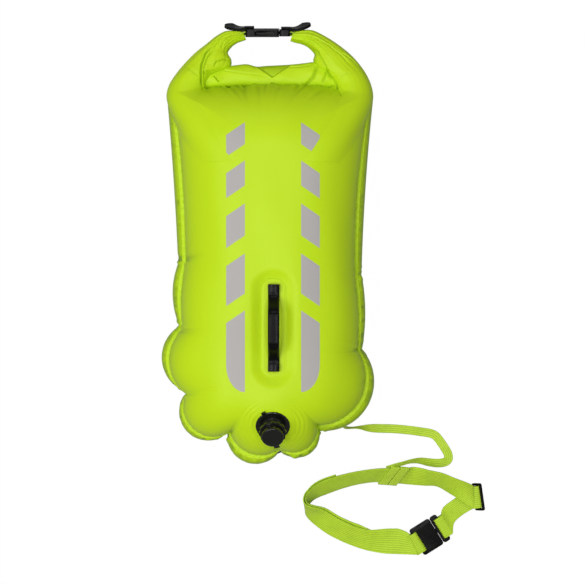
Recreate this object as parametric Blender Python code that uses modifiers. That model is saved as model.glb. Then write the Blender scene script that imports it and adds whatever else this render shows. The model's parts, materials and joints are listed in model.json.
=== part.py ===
"""Open water swim buoy, lying on its back on the floor with its valve side up.

X runs across the bag, Y from its foot to the roll-top and Z up from the floor. The origin is on the
floor under the middle of the buoy. All sizes are in metres, all angles in degrees.
"""
import math

import bmesh
import bpy
from mathutils import Matrix, Vector

for leftover in list(bpy.data.objects):
    bpy.data.objects.remove(leftover, do_unlink=True)

# Clearances that every piece shares
SEAT_GAP = 0.0003
CUT_OVERRUN = 0.003
MERGE = 0.00005

# Air chambers: outline, depths and how they close at the ends
BAG_WIDTH = 0.275
BAG_LENGTH = 0.486
BAG_MIDDLE_Y = -0.0445
REAR_DEPTH = 0.102
FRONT_DEPTH = 0.072
FOOT_ROUND = 0.108
HEAD_ROUND = 0.100
FRONT_FLAT_SHARE = 0.22
REAR_FLAT_SHARE = 0.42
REAR_WAIST_SHARE = 0.62
LOBE_FADE = 3.0
SOFTENING_PASSES = 14

# Heat-sealed band between the chambers and the dry compartment inside it
WELD_THICKNESS = 0.0024
WELD_REACH_SHARE = 0.35
WELD_INNER_SHARE = 0.93
NECK_WIDTH = 0.118

# Rolled mouth
ROLL_LENGTH = 0.132
ROLL_RADIUS = 0.0125
ROLL_LAP = 0.0016
ROLL_STRAIGHT_SHARE = 0.55
STIFFENER_WIDTH = 0.020
STIFFENER_THICKNESS = 0.0016
STIFFENER_INSET = 0.006
ARC_STEPS = 10

# Gathered ends of the roll
GATHER_HALF_WIDTH = 0.0284
GATHER_HALF_DEPTH = 0.022

# Webbing and tape
STUB_WEBBING = 0.025
BELT_WEBBING = 0.030
LEASH_TAPE = 0.012
WEB_THICKNESS = 0.0014
LAYER_ROOM = 0.0016
ROUTE_STEPS = 4
EASED_COUNT = 8
SLIDER_EASED_COUNT = 13

# Side-release buckles
BUCKLE_DEPTH = 0.010
BUCKLE_SKIN = 0.0018
BUCKLE_WALL = 0.0021
BUCKLE_MARGIN = 0.0046
BUCKLE_SLOT = 0.0034
BUCKLE_CORNER = 0.0035
BAR_RADIUS = 0.0020
LIP_LENGTH = 0.0048
BUCKLE_BEVEL = 0.0009
TONGUE_SHARE = 0.7
PRONG_THICKNESS = 0.0020
PRONG_HEIGHT = 0.0048
TONGUE_WIDTH = 0.0060
TONGUE_HEIGHT = 0.0042
SLIDE_CLEARANCE = 0.0004
TOP_CAVITY = 0.034
TOP_FLANGE = 0.0070
TOP_MOUTH_X = 0.0146
CARRY_LOOP_RISE = 0.0384
TOP_BUCKLE_TILT = 10.0
BELT_CAVITY = 0.022
BELT_FLANGE = 0.0035
BELT_MOUTH = (0.2262, -0.3879)
BELT_ANGLE = 32.0
BELT_ROLL = 9.0
LOOP_REACH = 0.0080
TAB_LENGTH = 0.030
TAB_WIDTH = 0.021
TAB_THICKNESS = 0.0026
TAB_FOOT = 0.008
TAB_FLARE = 19.0
TAB_TIP = 0.0026
TAB_STEPS = 12

# Grab handle and the recess that it stands in
HANDLE_X = 0.0083
HANDLE_Y = -0.1112
HANDLE_LENGTH = 0.1106
HANDLE_WIDTH = 0.0145
HANDLE_THICKNESS = 0.0034
HANDLE_RISE = 0.0215
HANDLE_FOOT = 0.0130
HANDLE_RUN = 0.0260
HANDLE_STEPS = 22
RECESS_END_MARGIN = 0.0077
RECESS_SIDE_MARGIN = 0.00855
RECESS_DEPTH = 0.0060
RECESS_CORNER = 0.0150
PATCH_THICKNESS = 0.0012
FOOT_PLATE_LENGTH = 0.0100
FOOT_PLATE_THICKNESS = 0.0016

# Inflation valves
VALVE_X = 0.0070
VALVE_Y = -0.2375
VALVE_SEAT_DEPTH = 0.0030
REAR_VALVE_Y = -0.2610
REAR_VALVE_SEAT = 0.0290
REAR_POCKET_RADIUS = 0.0240
FLANGE_RADIUS = 0.0220
FLANGE_THICKNESS = 0.0016
FLANGE_NUB = (0.0056, 0.0032)
NUB_TURN = 14.0
HOUSING_RADIUS = 0.0150
HOUSING_HEIGHT = 0.0090
HOUSING_BORE = 0.0080
NECK_RADIUS = 0.0110
NECK_HEIGHT = 0.0044
LOCK_RADIUS = 0.0174
LOCK_HEIGHT = 0.0054
LOCK_GRIPS = 12
LOCK_GROOVE = 0.0009
HOUSING_THREADS = 3
SEAL_SIDES = 8
MOUTHPIECE_RADIUS = 0.0058
MOUTHPIECE_BORE = 0.0034
MOUTHPIECE_HEIGHT = 0.0220
DIAPHRAGM_THICKNESS = 0.0012
SEAL_RADIUS = 0.0009
CAP_RADIUS = 0.0142
CAP_WALL = 0.0018
CAP_HEIGHT = 0.0072
CAP_TAB_LENGTH = 0.0076
CAP_TAB_WIDTH = 0.0072
CAP_TAB_THICKNESS = 0.0016
KNUCKLE_RADIUS = 0.0013
ARM_THICKNESS = 0.0018
EAR_THICKNESS = 0.0018
VALVE_STEPS = 24
FRONT_HINGE_TURN = -75.0
REAR_HINGE_TURN = -90.0

# Leash anchor on the rear chamber and the slider of the belt
ANCHOR_WIDTH = 0.026
ANCHOR_HEIGHT = 0.020
ANCHOR_THICKNESS = 0.0030
ANCHOR_Z = 0.058
ANCHOR_LOBE_INDEX = 6
ANCHOR_POINT_INDEX = 2
ANCHOR_SINK = 0.0034
LEASH_LIFT = 0.0030
SLIDER_LENGTH = 0.0370
SLIDER_WIDTH = 0.0200
SLIDER_THICKNESS = 0.0030
SLIDER_BAR = 0.0034
SLIDER_RAIL = 0.0030
SLIDER_CENTRE = (0.2828, -0.3420, 0.0100)
SLIDER_ANGLE = 8.0
SLIDER_LEAN = 60.0

# Outline of the back edge and of the front seam, counterclockwise from the left shoulder: notch points
# as shares of half the bag's width and length, and the bulge of the span that follows each
REAR_EDGE_SHARES = (
    (-0.943, 0.985, -0.024),
    (-0.855, 0.067, 0.052),
    (-0.848, -0.270, 0.190),
    (-0.776, -0.628, 0.229),
    (-0.343, -0.838, 0.181),
    (0.114, -0.949, 0.152),
    (0.482, -0.819, 0.295),
    (0.895, -0.396, 0.029),
    (0.886, 0.013, -0.024),
    (0.990, 0.968, 0.040),
)
FRONT_SEAM_SHARES = (
    (-0.895, 0.955, -0.026),
    (-0.776, 0.067, 0.029),
    (-0.804, -0.283, 0.143),
    (-0.776, -0.633, 0.180),
    (-0.324, -0.822, 0.110),
    (0.114, -0.925, 0.130),
    (0.467, -0.801, 0.240),
    (0.851, -0.402, 0.019),
    (0.824, -0.003, -0.045),
    (0.968, 0.920, 0.094),
)
SPAN_POINTS = (10, 5, 7, 7, 7, 7, 9, 4, 10, 12)

# Levels of the two chambers: how far out each ring lies, and for the rear shoulder also how high
FRONT_LEVEL_SHARES = (1.0, 0.985, 0.945, 0.87, 0.76, 0.62, 0.45, FRONT_FLAT_SHARE)
REAR_SHOULDER_SHARES = ((0.35, 1.0), (0.62, 0.965), (0.86, 0.87), (0.97, 0.76), (1.0, 0.62))
REAR_LEVEL_SHARES = (0.985, 0.945, 0.88, 0.78, 0.64, REAR_FLAT_SHARE)

# Sections of a gathered end: distance from the middle as a share of half the bag's width, height as a
# share of the way up to the buckle, half width and half depth as shares of the first section, direction
GATHER_SECTION_SHARES = (
    (0.742, 0.0, 1.0, 1.0, 90.0),
    (0.620, 0.300, 1.056, 0.95, 70.0),
    (0.491, 0.680, 0.577, 0.82, 56.0),
    (0.400, 0.890, 0.359, 0.68, 32.0),
    (0.312, 1.0, 0.190, 0.60, 0.0),
)

# Route of the waist belt from its buckle round the left bend to the slider: its floor edge, and how far
# its width leans back from the floor on the inner side
BELT_ROUTE = (
    (0.1894, -0.4199, 0.0066, 9.0),
    (0.1740, -0.4196, 0.0044, 10.0),
    (0.1543, -0.4186, 0.0030, 13.0),
    (0.1300, -0.4138, 0.0024, 20.0),
    (0.1057, -0.4051, 0.0022, 26.0),
    (0.0827, -0.3943, 0.0022, 34.0),
    (0.0652, -0.3828, 0.0022, 44.0),
    (0.0537, -0.3727, 0.0022, 56.0),
    (0.0470, -0.3632, 0.0022, 72.0),
    (0.0462, -0.3531, 0.0022, 90.0),
    (0.0512, -0.3452, 0.0022, 104.0),
    (0.0611, -0.3400, 0.0022, 113.0),
    (0.0760, -0.3350, 0.0022, 118.0),
    (0.0962, -0.3288, 0.0024, 121.0),
    (0.1178, -0.3240, 0.0028, 124.0),
    (0.1394, -0.3217, 0.0034, 129.0),
    (0.1560, -0.3220, 0.0038, 135.0),
    (0.1690, -0.3228, 0.0038, 135.0),
    (0.1800, -0.3237, 0.0038, 136.0),
    (0.1930, -0.3258, 0.0038, 150.0),
    (0.2096, -0.3290, 0.0042, 162.0),
    (0.2272, -0.3330, 0.0058, 168.0),
    (0.2430, -0.3395, 0.0086, 174.0),
    (0.2560, -0.3470, 0.0114, 179.0),
    (0.2680, -0.3530, 0.0130, 180.0),
)
NEAR_END_INDEX = 14
FAR_START_INDEX = 4
FAR_END_INDEX = 19
TAIL_RAISE = 0.0035
TAIL_END_INDEX = 13

# Edges of the doubled adjusting strap, between the buckle's male half and the slider
ADJUST_LOWER_EDGE = ((0.2560, -0.3800), (0.2660, -0.3690))
ADJUST_UPPER_EDGE = ((0.2362, -0.3560), (0.2520, -0.3440))

# Route of the leash tape's middle from its anchor behind the bag to the belt
LEASH_ROUTE = (
    (0.1026, -0.2462, 0.0370, 14.0),
    (0.1064, -0.2476, 0.0260, 46.0),
    (0.1130, -0.2482, 0.0165, 64.0),
    (0.1220, -0.2485, 0.0094, 48.0),
    (0.1340, -0.2489, 0.0042, 16.0),
    (0.1500, -0.2491, 0.0014, 2.0),
    (0.1700, -0.2495, 0.0012, 0.0),
    (0.1900, -0.2512, 0.0012, 0.0),
    (0.2080, -0.2530, 0.0012, 0.0),
    (0.2200, -0.2556, 0.0012, 0.0),
    (0.2300, -0.2622, 0.0012, 0.0),
    (0.2370, -0.2722, 0.0012, 0.0),
    (0.2414, -0.2820, 0.0012, 0.0),
    (0.2416, -0.2912, 0.0012, 0.0),
    (0.2360, -0.2970, 0.0016, 3.0),
    (0.2270, -0.2980, 0.0026, 8.0),
    (0.2150, -0.2960, 0.0050, 20.0),
    (0.2030, -0.2940, 0.0100, 36.0),
    (0.1910, -0.2954, 0.0182, 46.0),
    (0.1800, -0.2992, 0.0262, 45.0),
)
LEASH_LOOP_INDEX = 18
LEASH_LOOP_SLANT = 0.0045
LEASH_LOOP_ROOM = 0.0007

parts = bpy.data.collections.new("swim_buoy")
cutters = bpy.data.collections.new("cutters")
bpy.context.scene.collection.children.link(parts)
bpy.context.scene.collection.children.link(cutters)


def finish(name, colour, roughness, metallic=0.0):
    """A Principled material of one plain finish."""
    material = bpy.data.materials.new(name)
    material.use_nodes = True
    shader = material.node_tree.nodes["Principled BSDF"]
    shader.inputs["Base Color"].default_value = (*colour, 1.0)
    shader.inputs["Roughness"].default_value = roughness
    shader.inputs["Metallic"].default_value = metallic
    return material


LIME_FABRIC = finish("lime_fabric", (0.46, 0.72, 0.012), 0.42)
LIME_WEBBING = finish("lime_webbing", (0.36, 0.58, 0.012), 0.75)
INNER_FABRIC = finish("inner_fabric", (0.30, 0.45, 0.02), 0.6)
BLACK_PLASTIC = finish("black_plastic", (0.010, 0.010, 0.009), 0.35)
BLACK_RUBBER = finish("black_rubber", (0.013, 0.013, 0.012), 0.28)
VALVE_BLACK = finish("valve_black", (0.012, 0.012, 0.011), 0.3)
CLEAR_SILICONE = finish("silicone", (0.5, 0.5, 0.48), 0.4)


def add(name, mesh, material, parent=None, location=(0, 0, 0)):
    """Put a mesh in the model as one named piece."""
    mesh.name = name
    mesh.materials.clear()
    mesh.materials.append(material)
    piece = bpy.data.objects.new(name, mesh)
    piece.location = location
    piece.parent = parent
    parts.objects.link(piece)
    return piece


def frame(name, matrix):
    """An empty that carries the pieces which are laid out in its own axes."""
    empty = bpy.data.objects.new(name, None)
    empty.matrix_world = matrix
    parts.objects.link(empty)
    return empty


def to_mesh(shape, name="shape"):
    """Turn a bmesh into a mesh with its faces pointing out."""
    bmesh.ops.recalc_face_normals(shape, faces=shape.faces)
    mesh = bpy.data.meshes.new(name)
    shape.to_mesh(mesh)
    shape.free()
    return mesh


def block(low, high):
    """A box between two corners."""
    low, high = Vector(low), Vector(high)
    shape = bmesh.new()
    bmesh.ops.create_cube(shape, size=1.0)
    bmesh.ops.scale(shape, vec=high - low, verts=shape.verts)
    bmesh.ops.translate(shape, vec=(low + high) / 2, verts=shape.verts)
    return to_mesh(shape)


def rod(start, end, radius, steps=16):
    """A round bar between two points."""
    start, end = Vector(start), Vector(end)
    shape = bmesh.new()
    bmesh.ops.create_cone(
        shape, cap_ends=True, segments=steps, radius1=radius, radius2=radius, depth=(end - start).length
    )
    turn = (end - start).to_track_quat("Z", "Y").to_matrix().to_4x4()
    bmesh.ops.transform(shape, matrix=Matrix.Translation((start + end) / 2) @ turn, verts=shape.verts)
    return to_mesh(shape)


def slab(outline, low, high):
    """A flat outline filled as a curve and raised from one height to another."""
    curve = bpy.data.curves.new("outline", "CURVE")
    curve.dimensions = "2D"
    curve.fill_mode = "BOTH"
    curve.extrude = (high - low) / 2
    spline = curve.splines.new("POLY")
    spline.points.add(len(outline) - 1)
    for point, (x, y) in zip(spline.points, outline):
        point.co = (x, y, 0, 1)
    spline.use_cyclic_u = True
    drawn = bpy.data.objects.new("outline", curve)
    bpy.context.scene.collection.objects.link(drawn)
    mesh = bpy.data.meshes.new_from_object(drawn.evaluated_get(bpy.context.evaluated_depsgraph_get()))
    bpy.data.objects.remove(drawn)
    shape = bmesh.new()
    shape.from_mesh(mesh)
    bmesh.ops.remove_doubles(shape, verts=shape.verts, dist=MERGE)
    bmesh.ops.translate(shape, vec=(0, 0, (low + high) / 2), verts=shape.verts)
    return to_mesh(shape)


def loft(rings):
    """A skin through rings of equal count, capped at both ends."""
    shape = bmesh.new()
    rows = [[shape.verts.new(point) for point in ring] for ring in rings]
    count = len(rows[0])
    for lower, upper in zip(rows, rows[1:]):
        for i in range(count):
            j = (i + 1) % count
            shape.faces.new((lower[i], lower[j], upper[j], upper[i]))
    shape.faces.new(rows[0][::-1])
    shape.faces.new(rows[-1])
    return to_mesh(shape)


def turned(name, profile, material, parent=None, location=(0, 0, 0)):
    """A piece turned about its own Z from a profile of radius and height that runs down its outer side."""
    shape = bmesh.new()
    points = [shape.verts.new((radius, 0, height)) for radius, height in profile]
    whole = profile[0][0] > 0
    for k in range(len(points) if whole else len(points) - 1):
        shape.edges.new((points[k], points[(k + 1) % len(points)]))
    mesh = bpy.data.meshes.new(name)
    shape.to_mesh(mesh)
    shape.free()
    piece = add(name, mesh, material, parent, location)
    sweep = piece.modifiers.new("turned", "SCREW")
    sweep.steps = VALVE_STEPS
    sweep.render_steps = VALVE_STEPS
    sweep.use_merge_vertices = True
    sweep.merge_threshold = MERGE
    return piece


def strip(name, left, right, thickness, material, parent=None, loop=False):
    """A ribbon between two rails, given its thickness on both sides of them."""
    shape = bmesh.new()
    a = [shape.verts.new(point) for point in left]
    b = [shape.verts.new(point) for point in right]
    count = len(a)
    for i in range(count if loop else count - 1):
        j = (i + 1) % count
        shape.faces.new((a[i], a[j], b[j], b[i]))
    mesh = bpy.data.meshes.new(name)
    shape.to_mesh(mesh)
    shape.free()
    piece = add(name, mesh, material, parent)
    wall = piece.modifiers.new("thickness", "SOLIDIFY")
    wall.thickness = thickness
    wall.offset = 0.0
    wall.use_even_offset = True
    return piece


def boolean(piece, mesh, operation="DIFFERENCE", matrix=None):
    """Cut a mesh out of a piece, or join it on. The mesh lies in the piece's own axes."""
    tool = bpy.data.objects.new(piece.name + "_tool", mesh)
    tool.parent = piece
    if matrix is not None:
        tool.matrix_local = matrix
    tool.hide_render = True
    tool.display_type = "WIRE"
    cutters.objects.link(tool)
    step = piece.modifiers.new(operation.lower(), "BOOLEAN")
    step.operation = operation
    step.solver = "EXACT"
    step.object = tool


def soften(piece, width, segments=2, angle=40.0):
    """Round the edges that are sharper than an angle."""
    edge = piece.modifiers.new("rounded", "BEVEL")
    edge.width = width
    edge.segments = segments
    edge.limit_method = "ANGLE"
    edge.angle_limit = math.radians(angle)
    return edge


def catmull(rows, steps):
    """Rows of numbers with smooth values put in between, a given number of steps to each row."""
    smooth = []
    last = len(rows) - 1
    for k in range(last):
        before, here, after, beyond = (rows[min(max(k + i, 0), last)] for i in (-1, 0, 1, 2))
        for step in range(steps):
            t = step / steps
            square, cube = t ** 2, t ** 3
            smooth.append(tuple(
                b + ((c - a) * t + (2 * a - 5 * b + 4 * c - d) * square + (3 * b - a - 3 * c + d) * cube) / 2
                for a, b, c, d in zip(before, here, after, beyond)
            ))
    smooth.append(tuple(rows[-1]))
    return smooth


def rails(stations, width, offset=0.0, raises=None, middle=False):
    """Both edges of a ribbon that follows its floor edge, or its middle, and leans as its stations say."""
    points = [Vector(station[:3]) for station in stations]
    left, right = [], []
    for i, point in enumerate(points):
        along = (points[min(i + 1, len(points) - 1)] - points[max(i - 1, 0)]).normalized()
        side = Vector((along.y, -along.x, 0)).normalized()
        up = side.cross(along)
        lean = math.radians(stations[i][3])
        across = side * math.cos(lean) + up * math.sin(lean)
        start = point + along.cross(across) * offset
        if raises:
            start += across * raises[i]
        if middle:
            start -= across * width / 2
        left.append(start)
        right.append(start + across * width)
    return left, right


def rounded_box(half_x, half_y, radius, steps=5, centre=(0.0, 0.0)):
    """Outline of a rectangle with round corners."""
    outline = []
    for quarter, (sx, sy) in enumerate(((1, 1), (-1, 1), (-1, -1), (1, -1))):
        for step in range(steps + 1):
            angle = math.radians(90.0) * (quarter + step / steps)
            x = centre[0] + sx * (half_x - radius) + radius * math.cos(angle)
            y = centre[1] + sy * (half_y - radius) + radius * math.sin(angle)
            outline.append((x, y))
    return outline


# Outlines of the bag: arcs between notches
def arc_span(start, end, bulge, count):
    """Points of the arc that stands out by bulge on the right of the way from start to end."""
    chord = end - start
    outward = Vector((chord.y, -chord.x)).normalized()
    half = chord.length / 2
    radius = (half ** 2 + bulge ** 2) / (2 * bulge)
    centre = (start + end) / 2 + outward * (bulge - radius)
    sweep = 4 * math.atan(bulge / half)
    return [centre + Matrix.Rotation(sweep * k / count, 2) @ (start - centre) for k in range(count)]


def outline_of(shares):
    """The scalloped outline that a table of notches and bulges describes."""
    notches = [
        (Vector((x * BAG_WIDTH / 2, BAG_MIDDLE_Y + y * BAG_LENGTH / 2)), bulge * BAG_WIDTH / 2)
        for x, y, bulge in shares
    ]
    outline = []
    for k, (start, bulge) in enumerate(notches):
        end = notches[(k + 1) % len(notches)][0]
        outline += arc_span(start, end, bulge, SPAN_POINTS[k])
    return outline


def softened(outline):
    """The outline with its lobes smoothed away."""
    for _ in range(SOFTENING_PASSES):
        count = len(outline)
        outline = [(outline[i - 1] + outline[i] * 2 + outline[(i + 1) % count]) / 4 for i in range(count)]
    return outline


rear_edge = outline_of(REAR_EDGE_SHARES)
front_seam = outline_of(FRONT_SEAM_SHARES)
SPINE_FOOT = min(point.y for point in front_seam) + FOOT_ROUND
SPINE_HEAD = max(point.y for point in front_seam) - HEAD_ROUND


def ring(outline, scale, height):
    """The outline drawn in towards the bag's spine, with its lobes fading on the way."""
    soft = softened(outline)
    level = []
    for edge, plain in zip(outline, soft):
        reach = plain.lerp(edge, scale ** LOBE_FADE)
        spine = Vector((0, min(max(reach.y, SPINE_FOOT), SPINE_HEAD)))
        point = spine + (reach - spine) * scale
        level.append(Vector((point.x, point.y, height)))
    return level


def crown(scale, flat):
    """Height share of a chamber's surface where it lies a given share of the way out."""
    out = min(max((scale - flat) / (1 - flat), 0.0), 1.0)
    return math.sqrt(1 - out ** 2)


WELD_BASE = REAR_DEPTH + SEAT_GAP
FRONT_BASE = WELD_BASE + WELD_THICKNESS + SEAT_GAP
MIDDLE_Z = WELD_BASE + WELD_THICKNESS / 2
REAR_WAIST = REAR_DEPTH * REAR_WAIST_SHARE
CROWN_Z = FRONT_BASE + FRONT_DEPTH

# Front chamber
front_rings = [
    ring(front_seam, share, FRONT_BASE + FRONT_DEPTH * crown(share, FRONT_FLAT_SHARE))
    for share in FRONT_LEVEL_SHARES
]
front_chamber = add("front_chamber", loft(front_rings), LIME_FABRIC)

# Rear chamber, resting on its flat underside
rear_rings = []
for blend, height in REAR_SHOULDER_SHARES:
    shoulder = [a.lerp(b, blend) for a, b in zip(front_seam, rear_edge)]
    rear_rings.append([Vector((p.x, p.y, REAR_DEPTH * height)) for p in shoulder])
for share in REAR_LEVEL_SHARES:
    rear_rings.append(ring(rear_edge, share, REAR_WAIST * (1 - crown(share, REAR_FLAT_SHARE))))
rear_chamber = add("rear_chamber", loft(rear_rings[::-1]), LIME_FABRIC)

# Perimeter weld: the sealed band, open at the head where the neck passes
WELD_COUNT = len(front_seam) - SPAN_POINTS[-1] + 1
weld_outer = [a.lerp(b, WELD_REACH_SHARE) for a, b in zip(front_seam, rear_edge)][:WELD_COUNT]
weld_inner = ring(front_seam, WELD_INNER_SHARE, MIDDLE_Z)[:WELD_COUNT]
strip(
    "perimeter_weld",
    [Vector((p.x, p.y, MIDDLE_Z)) for p in weld_outer],
    weld_inner,
    WELD_THICKNESS,
    LIME_FABRIC,
)

# Dry compartment: lies empty and flat between the chambers, its neck running up into the roll
NECK_TOP = max(point.y for point in rear_edge) + ROLL_RADIUS / 4
dry_share = WELD_INNER_SHARE - 2 * SEAT_GAP / FOOT_ROUND
dry_edge = [(p.x, p.y) for p in ring(front_seam, dry_share, MIDDLE_Z)[:WELD_COUNT]]
neck_foot = dry_edge[-1][1]
dry_edge += [(NECK_WIDTH / 2, neck_foot), (NECK_WIDTH / 2, NECK_TOP)]
dry_edge += [(-NECK_WIDTH / 2, NECK_TOP), (-NECK_WIDTH / 2, neck_foot)]
add(
    "dry_compartment",
    slab(dry_edge, MIDDLE_Z - WELD_THICKNESS / 2, MIDDLE_Z + WELD_THICKNESS / 2),
    INNER_FABRIC,
)

# Roll-top closure: the mouth rolled over its stiffener, with the last wrap's edge showing in front
ROLL_STRAIGHT = ROLL_RADIUS * ROLL_STRAIGHT_SHARE
roll_bottom = NECK_TOP + SEAT_GAP
roll_middle = roll_bottom + ROLL_RADIUS + ROLL_STRAIGHT / 2
ROLL_TOP = roll_middle + ROLL_STRAIGHT / 2 + ROLL_RADIUS
TOP_BUCKLE_Y = ROLL_TOP + CARRY_LOOP_RISE


def half_turn(centre_y, radius, first):
    """Half of the roll's end, in Y and Z about its own middle."""
    points = []
    for step in range(ARC_STEPS + 1):
        angle = math.radians(first + 180.0 * step / ARC_STEPS)
        points.append((centre_y + radius * math.cos(angle), radius * math.sin(angle)))
    return points


lower_turn = half_turn(-ROLL_STRAIGHT / 2, ROLL_RADIUS, 90.0)
upper_turn = half_turn(ROLL_STRAIGHT / 2, ROLL_RADIUS - ROLL_LAP, 270.0)
roll_outline = lower_turn + upper_turn
roll_turn = Matrix(((0, 0, 1, 0), (1, 0, 0, roll_middle), (0, 1, 0, MIDDLE_Z), (0, 0, 0, 1)))
roll_mesh = slab(roll_outline, -ROLL_LENGTH / 2, ROLL_LENGTH / 2)
roll_mesh.transform(roll_turn)
roll_closure = add("roll_closure", roll_mesh, LIME_FABRIC)
stiffener_length = ROLL_LENGTH - 2 * STIFFENER_INSET
slot_y = STIFFENER_WIDTH / 2 + SEAT_GAP
slot_z = STIFFENER_THICKNESS / 2 + SEAT_GAP
slot_x = ROLL_LENGTH / 2 + CUT_OVERRUN
boolean(
    roll_closure,
    block(
        (-slot_x, roll_middle - slot_y, MIDDLE_Z - slot_z),
        (slot_x, roll_middle + slot_y, MIDDLE_Z + slot_z),
    ),
)
add(
    "closure_stiffener",
    block(
        (-stiffener_length / 2, roll_middle - STIFFENER_WIDTH / 2, MIDDLE_Z - STIFFENER_THICKNESS / 2),
        (stiffener_length / 2, roll_middle + STIFFENER_WIDTH / 2, MIDDLE_Z + STIFFENER_THICKNESS / 2),
    ),
    BLACK_PLASTIC,
)

# Gathered ends of the roll, lofted up and in to the webbing stubs
GATHER_BASE_Y = max(point.y for point in rear_edge) + SEAT_GAP
GATHER_POINTS = 14
GATHER_STEPS = 3


def gathered_end(name, side):
    """One end of the roll; side is -1 for the left and 1 for the right."""
    rings = []
    for x, y, wide, deep, direction in catmull(GATHER_SECTION_SHARES, GATHER_STEPS):
        centre = Vector((x * BAG_WIDTH / 2, GATHER_BASE_Y + y * (TOP_BUCKLE_Y - GATHER_BASE_Y), MIDDLE_Z))
        across = Vector((math.sin(math.radians(direction)), math.cos(math.radians(direction)), 0))
        level = []
        for k in range(GATHER_POINTS):
            angle = math.tau * k / GATHER_POINTS
            point = centre + across * (GATHER_HALF_WIDTH * wide * math.cos(angle))
            point.z += GATHER_HALF_DEPTH * deep * math.sin(angle)
            level.append(Vector((side * point.x, point.y, point.z)))
        rings.append(level)
    piece = add(name, loft(rings), LIME_FABRIC)
    end_x = ROLL_LENGTH / 2 + SEAT_GAP
    deep = GATHER_HALF_DEPTH + CUT_OVERRUN
    boolean(piece, block(
        (-end_x, GATHER_BASE_Y - CUT_OVERRUN, MIDDLE_Z - deep),
        (end_x, ROLL_TOP + SEAT_GAP, MIDDLE_Z + deep),
    ))
    return piece


gathered_end("left_gather", -1)
gathered_end("right_gather", 1)


# Side-release buckles, laid out along X with the male half at +X and the mouth at X = 0
def side_release_buckle(prefix, webbing, cavity, flange, matrix):
    """Both halves and the two prongs; returns the empty that carries them and where the bars are."""
    carrier = frame(prefix + "_buckle_frame", matrix)
    half = webbing / 2 + BUCKLE_MARGIN
    inner = half - BUCKLE_WALL
    deep = BUCKLE_DEPTH / 2
    hollow = deep - BUCKLE_SKIN
    past = deep + CUT_OVERRUN
    gate = webbing / 2 + SLIDE_CLEARANCE
    ear = (gate + half) / 2
    bar_x = cavity + BUCKLE_WALL + BUCKLE_SLOT + BAR_RADIUS
    female_end = bar_x + BAR_RADIUS
    outline = rounded_box(female_end / 2, half, BUCKLE_CORNER, centre=(-female_end / 2, 0.0))
    female = add(prefix + "_buckle_female", slab(outline, -deep, deep), BLACK_PLASTIC, carrier)
    soften(female, BUCKLE_BEVEL, 1)
    boolean(female, block((-cavity, -inner, -hollow), (CUT_OVERRUN, inner, hollow)))
    window = PRONG_HEIGHT / 2 + SLIDE_CLEARANCE
    side = half + CUT_OVERRUN
    boolean(female, block((BUCKLE_WALL - cavity, -side, -window), (-LIP_LENGTH, side, window)))
    boolean(female, block((-female_end - CUT_OVERRUN, -gate, -past), (-cavity - BUCKLE_WALL, gate, past)))
    boolean(female, rod((-bar_x, -ear, 0), (-bar_x, ear, 0), BAR_RADIUS), "UNION")

    male_bar = SEAT_GAP + flange + BUCKLE_SLOT + BAR_RADIUS
    male_end = male_bar + BAR_RADIUS
    male_deep = deep - BUCKLE_BEVEL
    outline = rounded_box(
        (male_end - SEAT_GAP) / 2, half, BUCKLE_CORNER, centre=((male_end + SEAT_GAP) / 2, 0.0)
    )
    male = add(prefix + "_buckle_male", slab(outline, -male_deep, male_deep), BLACK_PLASTIC, carrier)
    soften(male, BUCKLE_BEVEL, 1)
    boolean(male, block((SEAT_GAP + flange, -gate, -past), (male_end + CUT_OVERRUN, gate, past)))
    boolean(male, rod((male_bar, -ear, 0), (male_bar, ear, 0), BAR_RADIUS), "UNION")
    tongue = block(
        (-cavity * TONGUE_SHARE, -TONGUE_WIDTH / 2, -TONGUE_HEIGHT / 2),
        (SEAT_GAP + flange / 2, TONGUE_WIDTH / 2, TONGUE_HEIGHT / 2),
    )
    boolean(male, tongue, "UNION")

    throat = inner - SLIDE_CLEARANCE
    root = throat - PRONG_THICKNESS
    heel = throat - PRONG_THICKNESS / 2
    shoulder = half - SEAT_GAP
    catch_x = -LIP_LENGTH - SLIDE_CLEARANCE
    tip_x = BUCKLE_WALL + SLIDE_CLEARANCE - cavity
    pad_x = (catch_x + tip_x) / 2
    for hand, end in ((1, "left"), (-1, "right")):
        points = [
            (0.0, root), (0.0, throat), (catch_x, throat), (catch_x, shoulder), (pad_x, shoulder),
            ((pad_x + tip_x) / 2, throat), (tip_x, root), (tip_x, root - PRONG_THICKNESS / 2), (pad_x, root),
        ]
        prong = slab([(x, hand * (y - heel)) for x, y in points], -PRONG_HEIGHT / 2, PRONG_HEIGHT / 2)
        add(prefix + "_prong_" + end, prong, BLACK_PLASTIC, carrier, (0, hand * heel, 0))
    return carrier, -bar_x, male_bar


def bar_loop(name, carrier, bar_x, reach, webbing, direction):
    """Webbing doubled round a buckle's bar, its two layers running on by reach."""
    path = [(bar_x + direction * reach, LOOP_RADIUS)]
    for step in range(ARC_STEPS + 1):
        angle = math.radians(90.0 + direction * 180.0 * step / ARC_STEPS)
        path.append((bar_x + LOOP_RADIUS * math.cos(angle), LOOP_RADIUS * math.sin(angle)))
    path.append((bar_x + direction * reach, -LOOP_RADIUS))
    left = [Vector((x, -webbing / 2, z)) for x, z in path]
    right = [Vector((x, webbing / 2, z)) for x, z in path]
    return strip(name, left, right, WEB_THICKNESS, LIME_WEBBING, carrier)


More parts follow.
